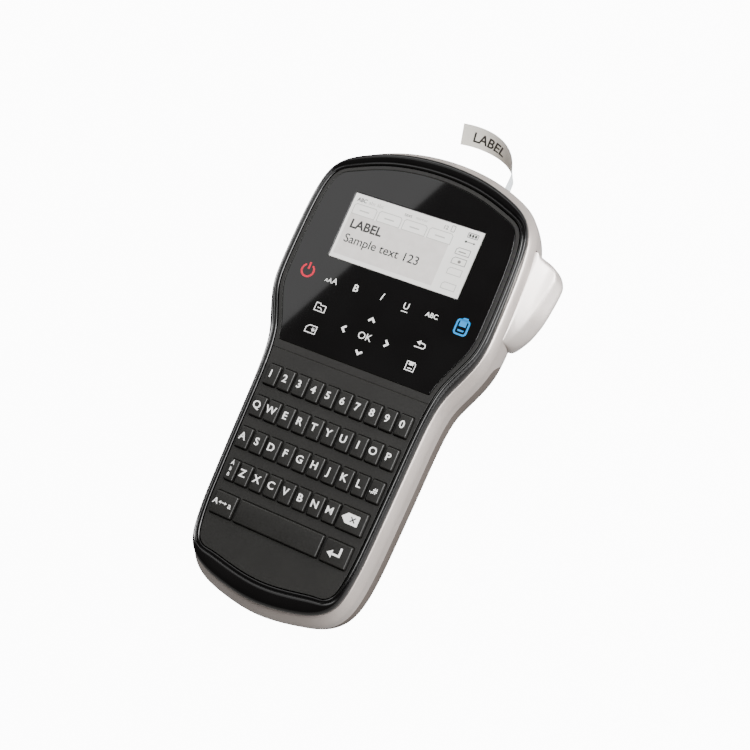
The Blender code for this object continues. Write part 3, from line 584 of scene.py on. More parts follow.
def make_side_frame():
    """Silver band: its outside swells out under the rim and rolls in at both seams."""
    edge = silver_edge(RIM[:, 1])
    top = RIM_BOTTOM + CLEAR
    shares = np.linspace(0, 1, 26) ** 1.35
    rolls = [0.35 * (1 - min(i, 3) / 3) ** 2 for i in range(len(shares))]
    outer = [casing_ring(top + (edge - top) * share, roll) for share, roll in zip(shares, rolls)]
    outer.append(casing_ring(edge, 0.3))
    inner = [casing_ring(top + WALL + (edge - top - WALL) * s, WALL) for s in np.linspace(1, 0, 10)]
    shelf = np.column_stack([shifted(-RIM_WIDTH), np.full(len(RIM), -top - WALL)])
    shelf_top = np.column_stack([shifted(-RIM_WIDTH), np.full(len(RIM), -top)])
    band = lofted("silver_band", outer + inner + [shelf, shelf_top], closed=True)
    carved(band, lever_window(), label_slot())
    belongs(band, "housing", SILVER, ["side_frame"])


def to_table(y, z):
    """Y and Z in the table frame, whose Z = 0 is the table, from the face frame."""
    dy, dz = y - HEEL_Y, z + HEEL_DEPTH
    return dy * math.cos(TILT) - dz * math.sin(TILT), dy * math.sin(TILT) + dz * math.cos(TILT)


def from_table(points):
    """Points in the table frame, in millimetres, to the face frame."""
    p = np.asarray(points, float) * MM
    return (p - FACE_ORIGIN) @ FACE_TURN / MM


CASSETTE_DOOR_Y = to_table(HEAD_Y, -HEAD_DEPTH)[0]


def table_prism(name, outline, low, high):
    """An outline extruded in the table frame, which the rear of the head is square to."""
    return lofted(name, [from_table(level(outline, low)), from_table(level(outline, high))])


def make_rear_cover():
    """Warm grey tray: walls tuck in as an ellipse to a flat rear with the two bays cut through it."""
    edge = silver_edge(RIM[:, 1]) + CLEAR
    rear = rear_depth(RIM[:, 1])
    shares = 0.97 * np.sin(np.linspace(0, np.pi / 2, 30))
    outer = [casing_ring(edge, 0.3)] + [casing_ring(edge + 0.3 + (rear - edge - 0.3) * s) for s in shares]
    rim_ring = casing_ring(rear)
    rim_ring[:, 2] = -rear_depth(rim_ring[:, 1])
    outer.append(rim_ring)
    floor = casing_ring(rear, WALL)
    floor[:, 2] = WALL - rear_depth(floor[:, 1])
    inner = [casing_ring(edge + (rear - edge) * s, WALL) for s in (0.88, 0.8, 0.7, 0.55, 0.4, 0.2, 0)]
    rings = outer + [floor] + inner
    count, last = len(RIM), len(outer) - 1
    walls = grid_faces(len(rings), count, closed_rows=True)
    shut = walls[walls[:, 0] // count != last]
    faces = shut.tolist() + across_faces(last * count, count) + across_faces((last + 1) * count, count)
    cover = mesh_object("rear_shell", np.vstack(rings), faces)
    cassette_bay = rounded_rectangle((0, CASSETTE_DOOR_Y), np.array(CASSETTE_DOOR) + 2 * CLEAR, 3.0 + CLEAR)
    battery_bay = rounded_rectangle((0, BATTERY_Y), np.array(BATTERY_DOOR) + 2 * CLEAR, 3.0 + CLEAR)
    cutters = [table_prism("bay_cutter", cassette_bay, -10.0, 8.0),
               prism("battery_cutter", battery_bay, -HANDLE_DEPTH - 8, -HANDLE_DEPTH + 5)]
    for x, y in SCREW_PLACES:
        cutters.append(prism("screw_cutter", circle((x, y), 2.6), -rear_depth(y) - 3, -rear_depth(y) + 1.2))
    carved(cover, *cutters)
    belongs(cover, "housing", WARM_GREY, ["rear_cover"])


SCREW_PLACES = ((-24.0, -82.0), (24.0, -82.0), (-27.0, -7.0), (27.0, -7.0))


def make_screws():
    """Pan-head screws down in the rear cover's recesses, each with a cross of two slots."""
    for i, (x, y) in enumerate(SCREW_PLACES):
        low = -rear_depth(y) + 0.35
        sections = [level(circle((x, y), 2.1, 32), low + 0.84)]
        sections += [level(circle((x, y), 2.1 * math.cos(a), 32), low + 0.7 * (1 - math.sin(a)))
                     for a in np.linspace(0, 1.2, 6)]
        screw = lofted(f"rear_screw_{i + 1}", sections)
        arms = ((2.2, 0.5), (0.5, 2.2))
        slots = [button("slot", (x, y), size, 0.1, low - 1, low + 0.45, 0.02) for size in arms]
        carved(screw, *slots)
        belongs(screw, "housing", SCREW_STEEL)


# ---------------------------------------------------------------- face

def key_table():
    """Every key as (name, legend, centre, size), in rows from the digits down to the space bar."""
    keys = []
    for r, letters in enumerate(("1234567890", "QWERTYUIOP", "ASDFGHJKL.", " ZXCVBNM")):
        for c, letter in enumerate(letters):
            name = "key_" + {".": "symbols"}.get(letter, letter.lower())
            if letter != " ":
                keys.append((name, letter, ((c - 4.5) * KEY_PITCH, FIRST_ROW_Y - r * ROW_PITCH), KEY))
    row3 = FIRST_ROW_Y - 3 * ROW_PITCH
    row4 = row3 - ROW_PITCH
    keys.append(("key_accent", "accent", (-29.1, row3), (4.4, KEY[1])))
    keys.append(("key_backspace", "backspace", (26.0, row3), (11.6, WIDE_KEY_HEIGHT)))
    keys.append(("key_caps", "caps", (-26.2, row4), (10.2, WIDE_KEY_HEIGHT)))
    keys.append(("key_space", "space", (-0.8, row4), (38.4, WIDE_KEY_HEIGHT)))
    keys.append(("key_enter", "enter", (25.3, row4), (11.6, WIDE_KEY_HEIGHT)))
    return keys


KEYS = key_table()


def panel_outline(gap):
    """The gloss panel's outline: inside the rim at the top, and a straight edge at the bottom."""
    points = shifted(-(RIM_WIDTH + CLEAR + PANEL_RING - gap))
    bottom = PANEL_BOTTOM - gap
    half = points[: len(RIM) // 2]
    half = half[: int(np.argmax(half[:, 1] < bottom))]
    after = points[len(half)]
    last = half[-1]
    x = last[0] + (after[0] - last[0]) * (last[1] - bottom) / (last[1] - after[1])
    corner = [(x, bottom + 1.2), (x - 0.1, bottom + 0.35), (x - 0.35, bottom + 0.1), (x - 1.2, bottom)]
    half = np.vstack([half[half[:, 1] > bottom + 1.3], corner])
    return np.vstack([half, half[:0:-1] * (-1, 1)])


def make_keypad_plate():
    """Charcoal plate: a pocket for the panel, a seam line across it, and one opening for each key."""
    plate = prism("keypad_surround", shifted(-(RIM_WIDTH + CLEAR)), -PLATE, 0)
    window = rounded_rectangle((0, WINDOW_Y), np.array(WINDOW) + 2 * CLEAR, 0.5)
    cutters = [prism("pocket_cutter", panel_outline(KEY_CLEAR), -PANEL - CLEAR, 5),
               prism("display_cutter", window, -8, 8),
               button("seam_cutter", (0, 0.2), (90, 0.34), 0.05, -0.22, 1, 0.01)]
    holes = []
    for _, _, centre, size in KEYS:
        gap = (size[0] + 2 * KEY_CLEAR, size[1] + 2 * KEY_CLEAR)
        outline = rounded_rectangle(centre, gap, 0.75, 4)
        holes.append(shape_of([level(outline, -8), level(outline, 8)]))
    cutters.append(joined("key_cutter", holes))
    carved(plate, *cutters)
    eased(plate, 0.12, 2)
    belongs(plate, "housing", CHARCOAL, ["keypad_plate"])


def make_control_panel():
    """Gloss panel with an eased edge, open over the display."""
    panel = prism("function_panel", panel_outline(0.0), -PANEL, PANEL_PROUD)
    window = prism("window_cutter", rounded_rectangle((0, WINDOW_Y), WINDOW, 0.3, 3), -8, 8)
    carved(panel, window)
    eased(panel, 0.1, 2)
    belongs(panel, "housing", PANEL_BLACK, ["control_panel"])


def key_cap(name, centre, size):
    """A key: a flange under the plate, a shaft, and a flared head with round corners and top edge."""
    w, h = size
    grown = (w + 2 * KEY_FLANGE, h + 2 * KEY_FLANGE)
    sections = [level(rounded_rectangle(centre, grown, 0.5), z) for z in (FLANGE_TOP - FLANGE, FLANGE_TOP)]
    sections += [level(rounded_rectangle(centre, size, 0.6), z) for z in (FLANGE_TOP, 0.0)]
    edge = 0.42
    for a in np.linspace(0, np.pi / 2, 6):
        inset = KEY_FLARE + edge * (1 - math.cos(a))
        outline = rounded_rectangle(centre, (w - 2 * inset, h - 2 * inset), max(0.75 - inset, 0.15))
        sections.append(level(outline, KEY_HEIGHT - edge + edge * math.sin(a)))
    return lofted(name, sections, sharp=50)


def make_keys():
    for name, _, centre, size in KEYS:
        cap = key_cap(name + "_cap", centre, size)
        belongs(cap, name, KEY_RUBBER, [name])


# ---------------------------------------------------------------- printed marks

INK = 0.03  # thickness of a printed mark


def shape_of(sections, closed=False):
    """Points and faces of sections joined in order, to be put together with others in one mesh."""
    rows, count = len(sections), len(sections[0])
    faces = grid_faces(rows, count, closed_rows=closed).tolist()
    if not closed:
        faces += [list(range(count)), list(range((rows - 1) * count, rows * count))]
    return np.vstack(sections), faces


def joined(name, shapes):
    """One mesh from several shapes."""
    points, faces = [], []
    for own_points, own_faces in shapes:
        first = sum(len(p) for p in points)
        points.append(own_points)
        faces += [[first + v for v in face] for face in own_faces]
    return mesh_object(name, np.vstack(points), faces)


def patch(outline, z):
    """A filled mark."""
    return shape_of([level(outline, z), level(outline, z + INK)])


def line(path, width, z, closed=False):
    """A drawn line: each point moves to both sides along the mean of its two edges' normals."""
    p = np.array(path, float)
    ahead = np.roll(p, -1, axis=0) - p
    if not closed:
        ahead[-1] = ahead[-2]
    behind = np.roll(ahead, 1, axis=0)
    if not closed:
        behind[0] = ahead[0]
    normals = [np.stack([-d[:, 1], d[:, 0]], axis=1) for d in (ahead, behind)]
    normals = [n / np.linalg.norm(n, axis=1)[:, None] for n in normals]
    mean = normals[0] + normals[1]
    mean /= np.linalg.norm(mean, axis=1)[:, None]
    reach = width / 2 / np.clip((mean * normals[0]).sum(axis=1), 0.4, 1)
    side = mean * reach[:, None]
    corners = [level(p + side, z), level(p - side, z), level(p - side, z + INK), level(p + side, z + INK)]
    return shape_of(list(np.stack(corners, axis=1)), closed)


def arc(centre, radius, start, end, count=24):
    """Points on a circle, from one angle to another in degrees."""
    a = np.radians(np.linspace(start, end, count))
    return np.column_stack([centre[0] + radius * np.cos(a), centre[1] + radius * np.sin(a)])


def lettering(text, size, place, weight=0.0, lean=0.0, align="CENTER"):
    """Points and faces of some words, size in millimetres, with their middle height at the place."""
    curve = bpy.data.curves.new("lettering", "FONT")
    curve.body = text
    curve.size = size
    curve.offset = weight * size
    curve.shear = lean
    curve.align_x = align
    curve.extrude = INK / 2
    curve.resolution_u = 4
    obj = bpy.data.objects.new("lettering", curve)
    mesh = bpy.data.meshes.new_from_object(obj)
    bpy.data.objects.remove(obj)
    bpy.data.curves.remove(curve)
    points = np.empty(len(mesh.vertices) * 3)
    mesh.vertices.foreach_get("co", points)
    points = points.reshape(-1, 3)
    faces = [list(f.vertices) for f in mesh.polygons]
    bpy.data.meshes.remove(mesh)
    x, y, z = place
    return points + (x, y - 0.36 * size, z + INK / 2), faces


def mark(name, shapes, body, ink):
    return belongs(joined(name, shapes), body, ink)


def legend_shapes(legend, x, y, z):
    """What is printed on a key."""
    if legend == "accent":
        return [lettering(glyph, 2.3, (x, y + 2.4 - 2.4 * i, z), 0.012) for i, glyph in enumerate("Áäñ")]
    if legend == "caps":
        double = [line(((x - 1.1, y), (x + 1.1, y)), 0.3, z)]
        for side in (-1, 1):
            tip, wing = x + side * 1.9, x + side * 0.9
            double.append(patch([(tip, y), (wing, y + 0.6), (wing, y - 0.6)], z))
        return double + [lettering(glyph, 3.4, (x + dx, y, z), 0.01) for glyph, dx in (("A", -3.3), ("a", 3.3))]
    if legend == "enter":
        path = ((x + 2.2, y + 2.3), (x + 2.2, y - 1.0), (x - 1.2, y - 1.0))
        return [line(path, 0.85, z), patch([(x - 0.9, y + 0.6), (x - 3.1, y - 1.0), (x - 0.9, y - 2.6)], z)]
    if legend == "backspace":
        left, neck, right = x - 4.0, x - 1.8, x + 3.4
        return [patch([(left, y), (neck, y + 2.1), (right, y + 2.1), (right, y - 2.1), (neck, y - 2.1)], z)]
    if legend == ".":
        return [lettering(".,#", 3.2, (x, y - 0.2, z), 0.015)]
    weight = 0.004 if legend == "M" else 0.016  # a bold M fills in
    return [lettering(legend, 4.4, (x, y, z), weight)]


def make_key_legends():
    for name, legend, (x, y), _ in KEYS:
        if legend == "space":
            continue
        shift = (-0.5, 0.4) if legend in ("caps", "enter", "backspace") else (-0.7, 0.5)
        place = (x + shift[0], y + shift[1], KEY_HEIGHT)
        mark(name + "_legend", legend_shapes(legend, *place), name, WHITE_INK)
        if legend == "backspace":
            cx, cy, z = place[0] + 0.9, place[1], KEY_HEIGHT + INK
            cross = [line(((cx - s, cy - 1.0), (cx + s, cy + 1.0)), 0.5, z) for s in (-1.0, 1.0)]
            mark(name + "_cross", cross, name, KEY_RUBBER)


def make_panel_marks():
    """Function marks on the gloss panel, each over its own touch key."""
    z = PANEL_PROUD
    x, y = -35.2, 34.9
    power = [line(arc((x, y), 2.7, 122, 418, 40), 0.8, z), line(((x, y + 0.6), (x, y + 3.6)), 0.85, z)]
    mark("mark_power", power, "housing", RED_INK)
    x, y = 35.8, 34.1
    frame_line = line(rounded_rectangle((x, y - 0.5), (5.0, 6.0), 1.1, 5), 0.75, z, closed=True)
    left, right, low, high = x - 1.5, x + 1.5, y - 0.2, y + 3.6
    sheet = patch([(left, low), (right, low), (right, high), (x - 0.3, high), (left, y + 2.5)], z)
    slot = line(((x - 1.3, y - 1.9), (x + 1.3, y - 1.9)), 0.7, z)
    mark("mark_print", [frame_line, sheet, slot], "housing", BLUE_INK)
    white = [lettering("A", s, (-23.3 + dx, 33.7 + 0.36 * (s - 2.0), z), 0.004)
             for s, dx in ((2.0, -2.4), (2.7, -0.8), (3.6, 1.4))]
    white.append(lettering("B", 4.3, (-12.2, 34.5, z), 0.016))
    white.append(lettering("I", 4.4, (-0.4, 34.8, z), 0.004, 0.25))
    white.append(lettering("U", 3.8, (11.0, 34.4, z), 0.004))
    white.append(line(((9.6, 31.9), (12.4, 31.9)), 0.35, z))
    white.append(lettering("ABC", 2.8, (22.5, 34.2, z), 0.014))
    white.append(lettering("OK", 4.2, (-0.2, 17.0, z), 0.0))
    for cx, cy, turn in ((-9.9, 17.0, 180), (9.5, 17.1, 0), (-0.2, 24.2, 90), (0.1, 9.9, 270)):
        c, s = math.cos(math.radians(turn)), math.sin(math.radians(turn))
        arrow = ((-0.7, 1.35), (0.7, 0), (-0.7, -1.35))
        chevron = [(cx + a * c - b * s, cy + a * s + b * c) for a, b in arrow]
        white.append(line(chevron, 0.85, z))
    for shapes, cx, cy in ((folder_mark(z), -23.0, 21.8), (label_mark(z), -23.0, 12.1),
                           (back_mark(z), 22.9, 21.6), (disk_mark(z), 22.6, 11.9)):
        white += [(points * (MARK_SCALE, MARK_SCALE, 1.0) + (cx, cy, 0.0), faces) for points, faces in shapes]
    mark("marks_white", white, "housing", WHITE_INK)


MARK_SCALE = 0.84  # the four marks below, as printed against as drawn


def folder_mark(z):
    """An open folder."""
    back = [(-2.9, -1.9), (-2.9, 2.1), (-0.9, 2.1), (-0.3, 1.3), (2.6, 1.3), (2.6, -1.9)]
    return [line(back, 0.42, z, closed=True), line(((-1.6, -0.2), (0.2, -0.2), (1.0, -1.2)), 0.38, z)]


def label_mark(z):
    """A label with one corner cut off, and a star on it."""
    edge = [(-2.9, -1.9), (-2.9, 0.5), (-1.5, 1.9), (2.6, 1.9), (2.6, -1.9)]
    arms = [(math.cos(a), math.sin(a)) for a in np.radians((0, 60, 120))]
    rays = [line(((1.0 - c, -s), (1.0 + c, s)), 0.36, z) for c, s in arms]
    return [line(edge, 0.42, z, closed=True)] + rays


def back_mark(z):
    """An arrow that turns back to the left."""
    bend = [(-2.7, -1.7), (1.4, -1.7), *arc((1.4, -0.5), 1.2, -70, 90, 8), (-0.3, 0.7)]
    return [line(bend, 0.5, z), patch([(-0.2, 1.9), (-2.2, 0.7), (-0.2, -0.5)], z)]


def disk_mark(z):
    """A square with a cut corner, a shutter above and a panel below."""
    edge = [(-2.2, -2.2), (-2.2, 2.2), (1.5, 2.2), (2.2, 1.5), (2.2, -2.2)]
    shutter = [(-1.1, 0.5), (-1.1, 2.1), (1.1, 2.1), (1.1, 0.5)]
    return [line(edge, 0.42, z, closed=True), patch(shutter, z), line(((-1.2, -1.0), (1.2, -1.0)), 0.4, z)]


def make_display_marks():
    """What the display shows: a typed sample in a grey field, tabs above it, and status marks."""
    z = -GLASS_RECESS
    left, right = -WINDOW[0] / 2 + CLEAR, WINDOW[0] / 2 - CLEAR
    low, high = WINDOW_Y - WINDOW[1] / 2 + CLEAR, WINDOW_Y + WINDOW[1] / 2 - CLEAR
    near, far, foot, head = left + 1.2, right - 12.4, low + 1.8, high - 9.2
    field = [(near, foot), (far, foot), (far, head), (near, head)]
    mark("lcd_field", [patch(field, z)], "housing", LCD_FIELD)
    faint = []
    for i in range(4):
        a = left + 1.5 + 11.6 * i
        foot, shoulder, head = high - 9.0, high - 5.2, high - 4.4
        tab = [(a, foot), (a, shoulder), (a + 0.8, head), (a + 9.6, head), (a + 10.4, shoulder), (a + 10.4, foot)]
        faint.append(line(tab, 0.28, z, closed=True))
        faint.append(line(((a + 3.0, high - 6.9), (a + 7.4, high - 6.9)), 0.5, z))
    faint.append(lettering("abc ábc", 2.3, (left + 7.0, high - 2.4, z), 0, 0, "LEFT"))
    faint.append(lettering("mirror", 2.0, (left + 28.8, high - 2.4, z), 0, 0, "LEFT"))
    for i, down in enumerate((19.0, 25.5)):
        faint.append(label_tag(right - 5.6, high - down, z))
    mark("lcd_faint_marks", faint, "housing", LCD_FAINT)
    middle = [lettering("text", 2.1, (left + 23.6, high - 2.4, z), 0.01, 0, "LEFT")]
    middle.append(lettering("12", 2.3, (right - 16.4, high - 2.4, z), 0.02))
    memory = rounded_rectangle((right - 13.2, high - 2.2), (1.5, 2.6), 0.3, 3)
    middle.append(line(memory, 0.25, z, closed=True))
    for down in (10.2, 14.4):
        middle.append(label_tag(right - 5.6, high - down, z))
    middle += [line(((right - 7.4, high - 10.4), (right - 4.2, high - 10.4)), 0.45, z),
               patch(circle((right - 5.4, high - 14.5), 0.7, 16), z)]
    mark("lcd_marks", middle, "housing", LCD_MID)
    dark = [lettering("ABC", 2.3, (left + 1.6, high - 2.4, z), 0.02, 0, "LEFT")]
    dark.append(lettering("LABEL", 5.4, (left + 3.0, high - 13.0, z + INK), 0.03, 0, "LEFT"))
    dark.append(lettering("Sample text 123", 5.3, (left + 3.0, high - 19.6, z + INK), 0.008, 0, "LEFT"))
    battery = rounded_rectangle((right - 4.2, high - 2.6), (4.4, 2.0), 0.2, 2)
    dark.append(line(battery, 0.28, z, closed=True))
    bars = [rounded_rectangle((right - 5.5 + 1.25 * i, high - 2.6), (0.9, 1.2), 0.1, 2) for i in range(3)]
    dark += [patch(bar, z) for bar in bars]
    dark += [line(((right - 6.4, high - 5.6), (right - 2.4, high - 5.6)), 0.3, z),
             patch(circle((right - 6.2, high - 5.6), 0.5, 12), z),
             patch([(right - 2.0, high - 5.6), (right - 2.9, high - 5.1), (right - 2.9, high - 6.1)], z)]
    mark("lcd_dark_marks", dark, "housing", LCD_DARK)
    frame["nodes"]["display_module"].data.materials.clear()
    frame["nodes"]["display_module"].data.materials.append(LCD_GROUND)


def label_tag(x, y, z):
    """A small label outline with one corner cut off."""
    left, right, low, high = x - 3.0, x + 3.0, y - 1.4, y + 1.4
    edge = [(left, low), (left, y + 0.5), (x - 2.1, high), (right, high), (right, low)]
    return line(edge, 0.28, z, closed=True)


# ---------------------------------------------------------------- cutter lever

# share of the length from the tip, then how far the ridge and the thumb face stand out, in shares
LEVER_STATIONS = (
    (0.0, 0.02, 0.10),
    (0.03, 0.10, 0.25),
    (0.09, 0.20, 0.43),
    (0.2, 0.32, 0.65),
    (0.37, 0.46, 0.84),
    (0.55, 0.57, 0.94),
    (0.76, 0.68, 1.0),
    (0.85, 0.70, 0.93),
    (0.93, 0.61, 0.73),
    (0.975, 0.38, 0.45),
    (1.0, 0.06, 0.12),
)


def lever_section(share, ridge, thumb):
    """The lever's section: a hollowed front face, a ridge, a thumb face that leans back, and the rear."""
    y = LEVER_TIP_Y + share * (LEVER_TOP_Y - LEVER_TIP_Y)
    line_x = HEAD_HALF + 1.6
    reach = LEVER_REACH - line_x
    front = LEVER_FRONT + 2.2 * (1 - share)
    ridge_x, thumb_x = line_x + ridge * reach, line_x + thumb * reach
    corners = np.array([
        (LEVER_INNER, -front),
        (line_x, -front),
        (ridge_x, -LEVER_EDGE),
        (thumb_x, -LEVER_EDGE - 6),
        (thumb_x - 1.6 * thumb, -LEVER_REAR + 2.5),
        (thumb_x - 3.6 * thumb, -LEVER_REAR),
        (LEVER_INNER, -LEVER_REAR),
    ])
    counts = (8, 26, 14, 14, 8, 14, 16)
    sides = []
    for a, b, count in zip(corners, np.roll(corners, -1, axis=0), counts):
        t = np.arange(count)[:, None] / count
        sides.append(a + (b - a) * t)
    hollow = np.sin(np.pi * np.arange(counts[1]) / counts[1]) * 1.5 * ridge
    sides[1][:, 1] -= hollow
    loop = smoothed(np.vstack(sides), 7)
    return np.column_stack([loop[:, 0], np.full(len(loop), y), loop[:, 1]])


def make_lever():
    """Cutter lever: sections along a smooth curve through the stations, with rounded ends and its hub."""
    stations = evenly(catmull_rom(LEVER_STATIONS, 16) * (30, 12, 12), 90) / (30, 12, 12)
    sections = [lever_section(*np.clip(station, 0, 1)) for station in stations]
    for end, outwards in ((0, -1), (-1, 1)):
        cap = sections[end]
        middle = cap.mean(axis=0)
        sections[end] = middle + (cap - middle) * 0.93
        sections[end][:, 1] = cap[:, 1]
    lever = lofted("cutter_lever_grip", sections, sharp=50)
    hub = prism("hub", circle(LEVER_PIVOT, 3.2, 40), -LEVER_REAR - CLEAR, -LEVER_FRONT - 3.5)
    carved(lever, hub, operation="UNION", sharp=50)
    belongs(lever, "lever", LEVER_SILVER, ["cutter_lever"])


# ---------------------------------------------------------------- label

TAPE = 0.16  # film and backing together


def label_line():
    """Centre line of the label, the direction of its width and its normal, from its inner end outwards."""
    straight = TOP + 8.0
    t = np.linspace(0, 1, 100)[:, None]
    a = np.array((LABEL_X, straight, -LABEL_DEPTH))
    b = np.array((LABEL_X - 2.5, straight + 9.5, -LABEL_DEPTH))
    c = np.array((LABEL_X - 12, straight + 14, -LABEL_DEPTH + 3))
    d = np.array((LABEL_X - 27, straight + 11.5, -LABEL_DEPTH + 5))
    curl = (1 - t) ** 3 * a + 3 * (1 - t) ** 2 * t * b + 3 * (1 - t) * t**2 * c + t**3 * d
    y = np.linspace(TOP - LABEL_START, straight, 30, endpoint=False)
    run_in = np.column_stack([np.full(30, LABEL_X), y, np.full(30, -LABEL_DEPTH)])
    points = np.vstack([run_in, curl])
    twist = np.radians(62) * ease(t[:, 0], -0.15, 1.0)
    twist = np.concatenate([twist[0] * ease(y, TOP, straight), twist])
    tangent = np.gradient(points, axis=0)
    tangent /= np.linalg.norm(tangent, axis=1)[:, None]
    side = np.cross(tangent, (0.0, 0.0, 1.0))
    side /= np.linalg.norm(side, axis=1)[:, None]
    up = np.cross(side, tangent)
    width = up * np.cos(twist)[:, None] + side * np.sin(twist)[:, None]
    return points, width, np.cross(tangent, width)


def make_label():
    """Label tape: film on its printed side and backing paper on the other, curling over at its free end."""
    points, width, normal = label_line()
    across = np.linspace(-LABEL_WIDTH / 2, LABEL_WIDTH / 2, 7)
    film = [points + width * v - normal * TAPE / 2 for v in across]
    back = [points + width * v + normal * TAPE / 2 for v in across[::-1]]
    sections = np.stack(film + back, axis=1)
    tape = lofted("label_tape_strip", list(sections), sharp=30)
    belongs(tape, "label", FILM, ["label_tape"])
    tape.data.materials.append(BACKING)
    facing = np.repeat([0, 1], [6, 8])
    index = np.concatenate([np.tile(facing, len(points) - 1), [0, 0]])
    tape.data.polygons.foreach_set("material_index", index.astype(np.int32))
    make_label_print(points, width, normal)


def make_label_print(points, width, normal):
    """The label's words, laid flat, then bent along the tape: X becomes distance back from the cut end."""
    flat, faces = lettering("LABEL", 5.8, (0, 0, 0), 0.02, 0, "LEFT")
    mesh = bpy.data.meshes.new("label_print")
    mesh.from_pydata(flat.tolist(), [], faces)
    bm = bmesh.new()
    bm.from_mesh(mesh)
    bmesh.ops.triangulate(bm, faces=bm.faces)
    long_edges = [e for e in bm.edges if e.calc_length() > 0.5]
    bmesh.ops.subdivide_edges(bm, edges=long_edges, cuts=5, use_grid_fill=True)
    bm.to_mesh(mesh)
    bm.free()
    flat = np.empty(len(mesh.vertices) * 3)
    mesh.vertices.foreach_get("co", flat)
    flat = flat.reshape(-1, 3)
    run = np.concatenate([[0], np.cumsum(np.linalg.norm(np.diff(points, axis=0), axis=1))])
    at = run[-1] - 5.0 - flat[:, 0]
    here, across, out = (np.stack([np.interp(at, run, v[:, k]) for k in range(3)], axis=1)
                         for v in (points, width, normal))
    bent = here + across * flat[:, 1:2] - out * (TAPE / 2 + flat[:, 2:3])
    mesh.vertices.foreach_set("co", placed(bent).ravel())
    mesh.update()
    obj = bpy.data.objects.new("label_print", mesh)
    bpy.context.scene.collection.objects.link(obj)
    belongs(obj, "label", THERMAL_INK)


# ---------------------------------------------------------------- doors and what is behind them

def make_battery_door():
    """Battery door: eased edges, a thumb recess at its free end and grip ribs in it."""
    low = -HANDLE_DEPTH
    outline = rounded_rectangle((0, BATTERY_Y), BATTERY_DOOR, 3.0)
    door = prism("battery_cover", outline, low, low + DOOR_THICKNESS)
    top = BATTERY_Y + BATTERY_DOOR[1] / 2
    recess = button("thumb", (0, top - 9), (20, 10), 4.5, low - 1, low + 0.7, 0.1)
    carved(door, recess)
    eased(door, 0.2, 3)
    belongs(door, "battery_door", WARM_GREY, ["battery_door"])
    ribs = [shape_of([level(rounded_rectangle((0, top - 5.6 - 1.7 * i), (14.0, 0.7), 0.3, 3), z)
                      for z in (low + 0.25, low + 0.75)]) for i in range(5)]
    mark("battery_cover_ribs", ribs, "battery_door", WARM_GREY)


def make_cassette_door():
    """Cassette door, square to the table: eased edges and a finger ledge with ribs at its free end."""
    outline = rounded_rectangle((0, CASSETTE_DOOR_Y), CASSETTE_DOOR, 3.0)
    door = table_prism("cassette_cover", outline, CLEAR, CLEAR + DOOR_THICKNESS)
    top = CASSETTE_DOOR_Y + CASSETTE_DOOR[1] / 2
    recess = table_prism("ledge", rounded_rectangle((0, top - 6), (24, 7), 3.2), CLEAR - 1, CLEAR + 0.7)
    carved(door, recess)
    eased(door, 0.2, 3)
    belongs(door, "cassette_door", WARM_GREY, ["cassette_door"])
    ribs = []
    for i in range(4):
        outline = rounded_rectangle((0, top - 3.9 - 1.4 * i), (16.0, 0.6), 0.25, 3)
        ribs.append(shape_of([from_table(level(outline, z)) for z in (CLEAR + 0.25, CLEAR + 0.75)]))
    mark("cassette_cover_ribs", ribs, "cassette_door", WARM_GREY)


def finish_inner_parts():
    """Working parts out of sight keep their shape and get their real finishes."""
    for node, finish in (("cutter_blade", STEEL), ("platen_roller", ROLLER), ("motor_pinion", ACETAL),
                         ("drive_motor", MOTOR_CAN), ("print_head", ALUMINA), ("label_cassette", CASSETTE_BLACK),
                         ("main_board", LAMINATE), ("battery_pack", WRAP)):
        materials = frame["nodes"][node].data.materials
        materials.clear()
        materials.append(finish)


# ---------------------------------------------------------------- floor, light and camera

FLOOR_GLOW = 12.0  # what the camera sees of the floor, which reads as white
FLOOR_BOUNCE = 0.1  # what the machine gets of it, so that its sides keep their shading


def make_floor():
    """Plain floor under the machine, white to the camera and a mid grey to everything else."""
    mat, tree, shader = principled("pale_floor", Roughness=0.6)
    tree.links.new(two_tone(tree, between(tree, speckle(tree, 400.0), 0, 1), "#646361", "#6A6967"),
                   shader.inputs["Base Color"])
    shader.inputs["Emission Color"].default_value = linear("#FFFFFF")
    seen = add(tree, "ShaderNodeLightPath").outputs["Is Camera Ray"]
    tree.links.new(between(tree, seen, FLOOR_BOUNCE, FLOOR_GLOW, 0, 1), shader.inputs["Emission Strength"])
    mesh = bpy.data.meshes.new("floor")
    half = 3.0
    mesh.from_pydata([(-half, -half, 0), (half, -half, 0), (half, half, 0), (-half, half, 0)], [], [(0, 1, 2, 3)])
    mesh.materials.append(mat)
    floor = bpy.data.objects.new("floor", mesh)
    bpy.context.scene.collection.objects.link(floor)


CARD_CORNER = (-270.0, 196.0, 600.0)  # middle of the card's inner edge
CARD_EDGE = (0.451, 0.893, 0.0)
CARD_SIZE = (0.6, 0.7)


def lamp(name, place, target, size, watts, tint="#FFFFFF"):
    """A rectangular soft box at a place in the face frame, turned towards a target, both in millimetres."""
    data = bpy.data.lights.new(name, "AREA")
    data.shape = "RECTANGLE"
    data.size, data.size_y = size
    data.energy = watts
    data.color = linear(tint)[:3]
    obj = bpy.data.objects.new(name, data)
    bpy.context.scene.collection.objects.link(obj)
    start, end = (Vector(placed([p])[0]) for p in (place, target))
    obj.location = start
    obj.rotation_euler = (end - start).to_track_quat("-Z", "Y").to_euler()
    return obj


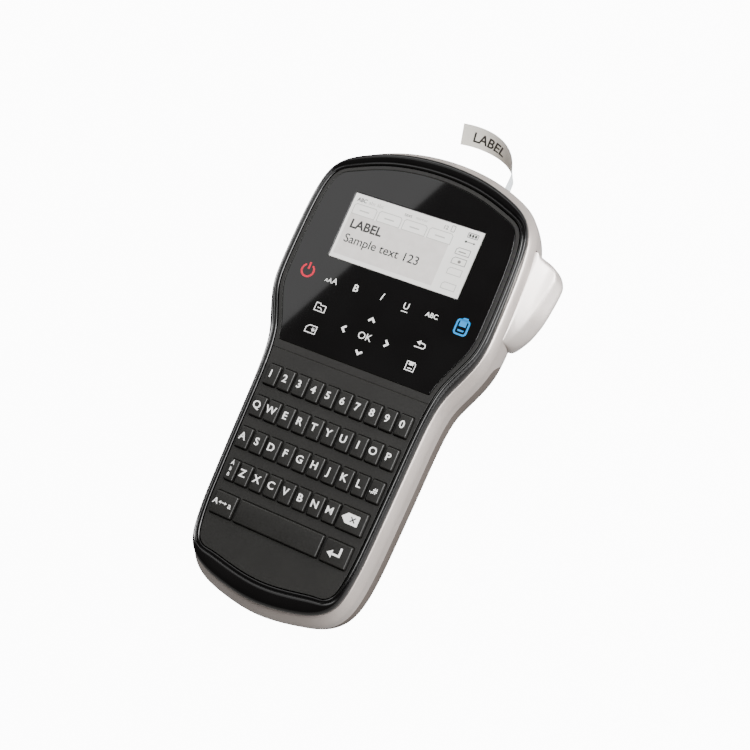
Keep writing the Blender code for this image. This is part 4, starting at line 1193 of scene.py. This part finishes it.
def card(watts):
    """A faint soft box level with the face: its long edge shows as a diagonal line in the gloss panel."""
    along = Vector(FACE_TURN @ CARD_EDGE).normalized()
    up = Vector(FACE_TURN @ (0.0, 0.0, 1.0))
    away = along.cross(up)
    middle = Vector(placed([CARD_CORNER])[0]) - away * CARD_SIZE[0] / 2
    data = bpy.data.lights.new("card", "AREA")
    data.shape = "RECTANGLE"
    data.size, data.size_y = CARD_SIZE
    data.energy = watts
    obj = bpy.data.objects.new("card", data)
    bpy.context.scene.collection.objects.link(obj)
    obj.matrix_world = Matrix.Translation(middle) @ Matrix((away, along, up)).transposed().to_4x4()


def make_lights():
    lamp("key", (650, 250, 900), (0, 0, 0), (0.9, 0.9), 24)
    lamp("right", (1100, 450, 350), (0, 20, -10), (0.6, 0.8), 30)
    lamp("left", (-900, 500, 300), (0, 0, -10), (0.5, 0.8), 4)
    lamp("back", (-100, 1000, 500), (0, 40, 0), (1.2, 0.5), 4)
    card(1.3)
    world = bpy.data.worlds.new("studio")
    bpy.context.scene.world = world
    world.use_nodes = True
    sky = world.node_tree.nodes["Background"]
    sky.inputs["Color"].default_value = linear("#F6F6F6")
    sky.inputs["Strength"].default_value = 0.09


EYE = (172.06, -62.59, 444.6)
EYE_BACK = (0.3384, -0.1388, 0.9307)
EYE_UP = (-0.3321, 0.9078, 0.2562)


def make_camera():
    """Camera above the keys and to their right, leaning so that the machine stands to the right."""
    data = bpy.data.cameras.new("camera")
    data.lens = 57.6
    data.sensor_width = 36.0
    cam = bpy.data.objects.new("camera", data)
    bpy.context.scene.collection.objects.link(cam)
    back = Vector(FACE_TURN @ EYE_BACK).normalized()
    right = Vector(FACE_TURN @ EYE_UP).cross(back).normalized()
    up = back.cross(right)
    cam.matrix_world = Matrix.Translation(placed([EYE])[0]) @ Matrix((right, up, back)).transposed().to_4x4()
    bpy.context.scene.camera = cam


make_rim()
make_side_frame()
make_rear_cover()
make_screws()
make_keypad_plate()
make_control_panel()
make_keys()
make_key_legends()
make_panel_marks()
make_display_marks()
make_lever()
make_label()
make_battery_door()
make_cassette_door()
finish_inner_parts()
make_floor()
make_lights()
make_camera()
